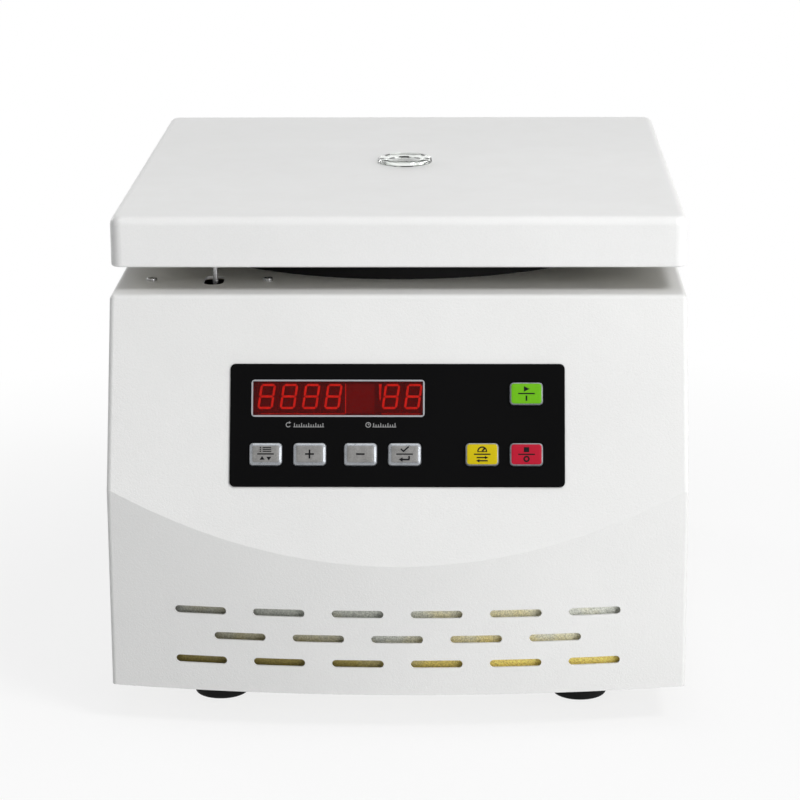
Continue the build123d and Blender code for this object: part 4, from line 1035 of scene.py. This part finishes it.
def make_port_lens():
    work = bmesh.new()
    plug = [
        (NEARLY_ZERO, PORT_FLOOR), (DISH_RADIUS, PORT_FLOOR), (DISH_RADIUS, PORT_FOOT),
        (PLUG_RADIUS - 0.1, PORT_FOOT), (PLUG_RADIUS, PORT_FOOT + 0.3), (PLUG_RADIUS, PORT_SEAT),
    ]
    rim = [
        (RIM_RADIUS - 0.4, PORT_SEAT), (RIM_RADIUS, PORT_SEAT + 0.4), (RIM_RADIUS, PORT_TOP - 1.6),
        (RIM_RADIUS - 0.3, PORT_TOP - 0.8), (RIM_RADIUS - 1, PORT_TOP - 0.25), (RIM_RADIUS - 2, PORT_TOP),
    ]
    dish = [
        (DISH_RADIUS + 4.2, PORT_TOP), (DISH_RADIUS + 3.2, PORT_TOP - 0.25),
        (DISH_RADIUS + 2.2, DISH_TOP + 1), (DISH_RADIUS + 1.2, DISH_TOP + 0.3),
        (DISH_RADIUS, DISH_TOP), (NEARLY_ZERO, DISH_TOP),
    ]
    spin_profile(work, plug + rim + dish)
    lens = link_piece("port_lens", work, "port_clear", "lid", smooth=True)
    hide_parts("port_window")


make_port_lens()


def make_port_painted_shade():
    """Dark arcs that paint shade at the clear port: one in the dish as a painted dark reflection, and two
    under the front rim as the painted contact shadow where the port meets the lid.
    """
    work = bmesh.new()
    middle = (0, AXIS_Y)
    dish = arc_band(middle, DISH_SHADE_RADIUS, DISH_SHADE_WIDTH, 74, 113, 10)
    add_prism(work, dish, DISH_SHADE_LOW, DISH_SHADE_HIGH, place=upright)
    for start, end, rise in ((-97, -71, 0.55), (-111, -107, 0.4)):
        rim = arc_band(middle, RIM_SHADE_RADIUS, RIM_SHADE_WIDTH, start, end, 10)
        add_prism(work, rim, PORT_SEAT, PORT_SEAT + rise, place=upright)
    link_piece("port_clips", work, "rubber", "lid")


make_port_painted_shade()

# Rotor: grip ribs on every tube cap and a number beside every place
TUBE_COUNT = 12
TUBE_ANGLE = radians(40)
ROTOR_BASE = 147.5
MOUTH_RADIUS = 60.0
MOUTH_HEIGHT = 60.0
SOCKET_DEPTH = 62.0
CAP_RADIUS = 9.6
CAP_RIB_COUNT = 24
CAP_RIB_LOW = 65.8
CAP_RIB_HIGH = 73.4
CAP_RIB_RISE = 0.45
CAP_RIB_WIDTH = 0.9
NUMBER_RADIUS = 36.0
NUMBER_HEIGHT = 6.6
NUMBER_WEIGHT = 0.13
NUMBER_RELIEF = 0.15
NUMBER_LIFT = 0.25


def make_polar_tree():
    """Copies one object about Z, then turns and shifts the whole ring: geometry nodes."""
    tree, start, end = copying_tree("ring_of_copies", Count="Int", Turn="Vector", Shift="Vector")
    points = tree.nodes.new("GeometryNodePoints")
    join(tree, start.outputs["Count"], points.inputs["Count"])
    step = maths(tree, "DIVIDE", 2 * pi, start.outputs["Count"])
    index = tree.nodes.new("GeometryNodeInputIndex").outputs[0]
    turn = value_node(tree, "ShaderNodeCombineXYZ", 0.0, 0.0, times(tree, index, step)).outputs[0]
    copies = copies_on(tree, points.outputs[0], start)
    join(tree, turn, copies.inputs["Rotation"])
    placed = tree.nodes.new("GeometryNodeTransform")
    join(tree, copies.outputs[0], placed.inputs["Geometry"])
    join(tree, start.outputs["Turn"], placed.inputs["Rotation"])
    join(tree, start.outputs["Shift"], placed.inputs["Translation"])
    end_tree(tree, placed.outputs[0], start, end)
    return tree


def make_cap_ribs():
    """One rib, copied round a cap and the ring of ribs copied to all caps."""
    work = bmesh.new()
    inner, outer = CAP_RADIUS - 0.2, CAP_RADIUS + CAP_RIB_RISE
    outline = [(inner, -CAP_RIB_WIDTH / 2), (outer, -CAP_RIB_WIDTH / 5), (outer, CAP_RIB_WIDTH / 5),
               (inner, CAP_RIB_WIDTH / 2)]
    add_prism(work, outline, CAP_RIB_LOW, CAP_RIB_HIGH, place=upright)
    rib = add_object("rib_pattern", finish_mesh(work, "rib_pattern"))
    ring_tree = make_polar_tree()
    reach = MOUTH_RADIUS + SOCKET_DEPTH * sin(TUBE_ANGLE)
    height = ROTOR_BASE + MOUTH_HEIGHT - SOCKET_DEPTH * cos(TUBE_ANGLE)
    one_cap = shape_from(ring_tree, "cap_rib_ring", {
        "Copied": rib, "Count": CAP_RIB_COUNT, "Turn": (0, -TUBE_ANGLE, 0),
        "Shift": (reach * MM, 0, height * MM), "Finish": finish["cap_plastic"],
    })
    ring = add_object("rib_ring_pattern", one_cap)
    mesh = shape_from(ring_tree, "cap_ribs", {
        "Copied": ring, "Count": TUBE_COUNT, "Turn": (0, 0, 0), "Shift": (0, AXIS_Y * MM, 0),
        "Finish": finish["cap_plastic"],
    })
    for pattern in (rib, ring):
        bpy.data.objects.remove(pattern)
    link_made("cap_ribs", mesh, "rotor_assembly")


def text_mesh(words, height):
    """Upright figures about the origin as a mesh in millimetres."""
    curve = bpy.data.curves.new("figures", "FONT")
    curve.body = words
    curve.size = height
    curve.align_x = "CENTER"
    curve.align_y = "CENTER"
    curve.extrude = NUMBER_RELIEF
    curve.offset = NUMBER_WEIGHT
    carrier = add_object("figures", curve)
    mesh = bpy.data.meshes.new_from_object(carrier.evaluated_get(bpy.context.evaluated_depsgraph_get()))
    bpy.data.objects.remove(carrier)
    return mesh


def make_place_numbers():
    """The plain numbers of the places, standing just proud of the rotor's inner cone."""
    work = bmesh.new()
    height = ROTOR_BASE + MOUTH_HEIGHT - (MOUTH_RADIUS - NUMBER_RADIUS) * tan(TUBE_ANGLE)
    for place in range(TUBE_COUNT):
        turn = 2 * pi * place / TUBE_COUNT
        out_of_cone = Vector((-sin(TUBE_ANGLE) * cos(turn), -sin(TUBE_ANGLE) * sin(turn), cos(TUBE_ANGLE)))
        along = Vector((-sin(turn), cos(turn), 0))
        upward = out_of_cone.cross(along)
        spot = Matrix((along, upward, out_of_cone)).transposed().to_4x4()
        foot = Vector((NUMBER_RADIUS * cos(turn), AXIS_Y + NUMBER_RADIUS * sin(turn), height))
        spot.translation = foot + NUMBER_LIFT * out_of_cone
        figures = text_mesh(str((TUBE_COUNT - place) % TUBE_COUNT + 1), NUMBER_HEIGHT)
        figures.transform(spot)
        work.from_mesh(figures)
        bpy.data.meshes.remove(figures)
    link_piece("place_numbers", work, "rubber", "rotor_assembly")


make_cap_ribs()
make_place_numbers()

# Mains switch: a bar and a ring on the two ends of its rocker
ROCKER_X = 62.0
ROCKER_Y = 213.5
ROCKER_Z = 64.5
ROCKER_FACE = 2.0
ROCKER_SLOPE = 1.0 / 9.5
ROCKER_REST = radians(6)
MARK_LOW = 0.01
MARK_HIGH = 0.09


def on_rocker(across, up, out):
    """A point on the hollow face of the rocker as it rests, tilted about its pivot."""
    y = ROCKER_FACE + abs(up) * ROCKER_SLOPE + out
    return Vector((
        ROCKER_X + across,
        ROCKER_Y + y * cos(ROCKER_REST) + up * sin(ROCKER_REST),
        ROCKER_Z - y * sin(ROCKER_REST) + up * cos(ROCKER_REST),
    ))


def make_rocker_marks():
    work = bmesh.new()
    for outline in (bar_outline(0, 5.6, 0.8, 4.2), arc_band((0, -5.4), 1.7, 0.7, *RING, 30)):
        add_prism(work, outline, MARK_LOW, MARK_HIGH, place=on_rocker)
    link_piece("rocker_marks", work, "white_plastic", "rocker_switch")


make_rocker_marks()

# Floor, world and lamps, in metres and watts
FLOOR_WIDTH = 12.0
FLOOR_WHITE_NEAR = 0.80
FLOOR_NEAR = 0.25
FLOOR_FAR = 0.70
WORLD_LIGHT = 0.27
LAMP_DISTANCE = 2.6
LAMP_TARGET = Vector((0, 0, 0.15))


def seen_directly(tree):
    """1 for a ray from the camera, in gloss or through clear plastic, and 0 for one that only lights."""
    path = tree.nodes.new("ShaderNodeLightPath")
    seen = maths(tree, "MAXIMUM", path.outputs["Is Camera Ray"], path.outputs["Is Glossy Ray"])
    return maths(tree, "MAXIMUM", seen, path.outputs["Is Transmission Ray"])


def mix_into(tree, factor, first, second, target):
    """Leads two shaders, blended by factor, into the target socket."""
    blend = tree.nodes.new("ShaderNodeMixShader")
    for source, socket in zip((factor, first, second), blend.inputs):
        join(tree, source, socket)
    join(tree, blend.outputs[0], target)


def make_floor():
    """A pale floor that keeps the machine's soft shadow and shows as near white."""
    mesh = bpy.data.meshes.new("floor")
    corners = [(x, y, 0) for x, y in bar_outline(0, 0, FLOOR_WIDTH, FLOOR_WIDTH)]
    mesh.from_pydata(corners, [], [(0, 1, 2, 3)])
    floor = add_object("floor", mesh)
    tree, shader = start_material("floor_white", (0.80, 0.80, 0.80), 0.9, specular=0.0)
    glow = tree.nodes.new("ShaderNodeEmission")
    glow.inputs["Color"].default_value = (1, 1, 1, 1)
    glow.inputs["Strength"].default_value = 1.0
    place = object_place(tree)
    distance = value_node(tree, "ShaderNodeVectorMath", place, operation="LENGTH").outputs["Value"]
    white = fade(tree, distance, FLOOR_NEAR, FLOOR_FAR, FLOOR_WHITE_NEAR, 1.0)
    mix_into(tree, times(tree, seen_directly(tree), white), shader.outputs[0], glow.outputs[0],
             tree.nodes["Material Output"].inputs["Surface"])
    mesh.materials.append(finish["floor_white"])


def make_world():
    """Soft grey light all round, seen as white behind the machine."""
    world = bpy.data.worlds.new("studio")
    bpy.context.scene.world = world
    world.use_nodes = True
    tree = world.node_tree
    ground = tree.nodes["Background"]
    ground.inputs["Color"].default_value = (0.98, 0.99, 1.0, 1)
    ground.inputs["Strength"].default_value = WORLD_LIGHT
    backdrop = tree.nodes.new("ShaderNodeBackground")
    backdrop.inputs["Color"].default_value = (1, 1, 1, 1)
    backdrop.inputs["Strength"].default_value = 1.0
    mix_into(tree, seen_directly(tree), ground.outputs[0], backdrop.outputs[0],
             tree.nodes["World Output"].inputs["Surface"])


def make_lamp(name, azimuth, elevation, size, power):
    """A square soft box that looks at the machine. Azimuth is to the right of the front."""
    across = cos(radians(elevation))
    way = Vector((across * sin(radians(azimuth)), -across * cos(radians(azimuth)), sin(radians(elevation))))
    data = bpy.data.lights.new(name, "AREA")
    data.shape = "SQUARE"
    data.size = size
    data.energy = power
    lamp = add_object(name, data)
    lamp.location = LAMP_TARGET + LAMP_DISTANCE * way
    lamp.rotation_euler = (-way).to_track_quat("-Z", "Y").to_euler()


# Name, azimuth and elevation in degrees, width in metres and power in watts
LAMPS = (
    ("soft_box_side", 46, 48, 0.7, 28),
    ("soft_box_low", 38, 13, 1.2, 21),
    ("soft_box_top", 0, 88, 1.6, 9),
    ("soft_box_back", 227, 15, 1.2, 17),
    ("glint_box", 66, 14, 0.5, 5.5),
)
make_floor()
make_world()
for lamp_values in LAMPS:
    make_lamp(*lamp_values)
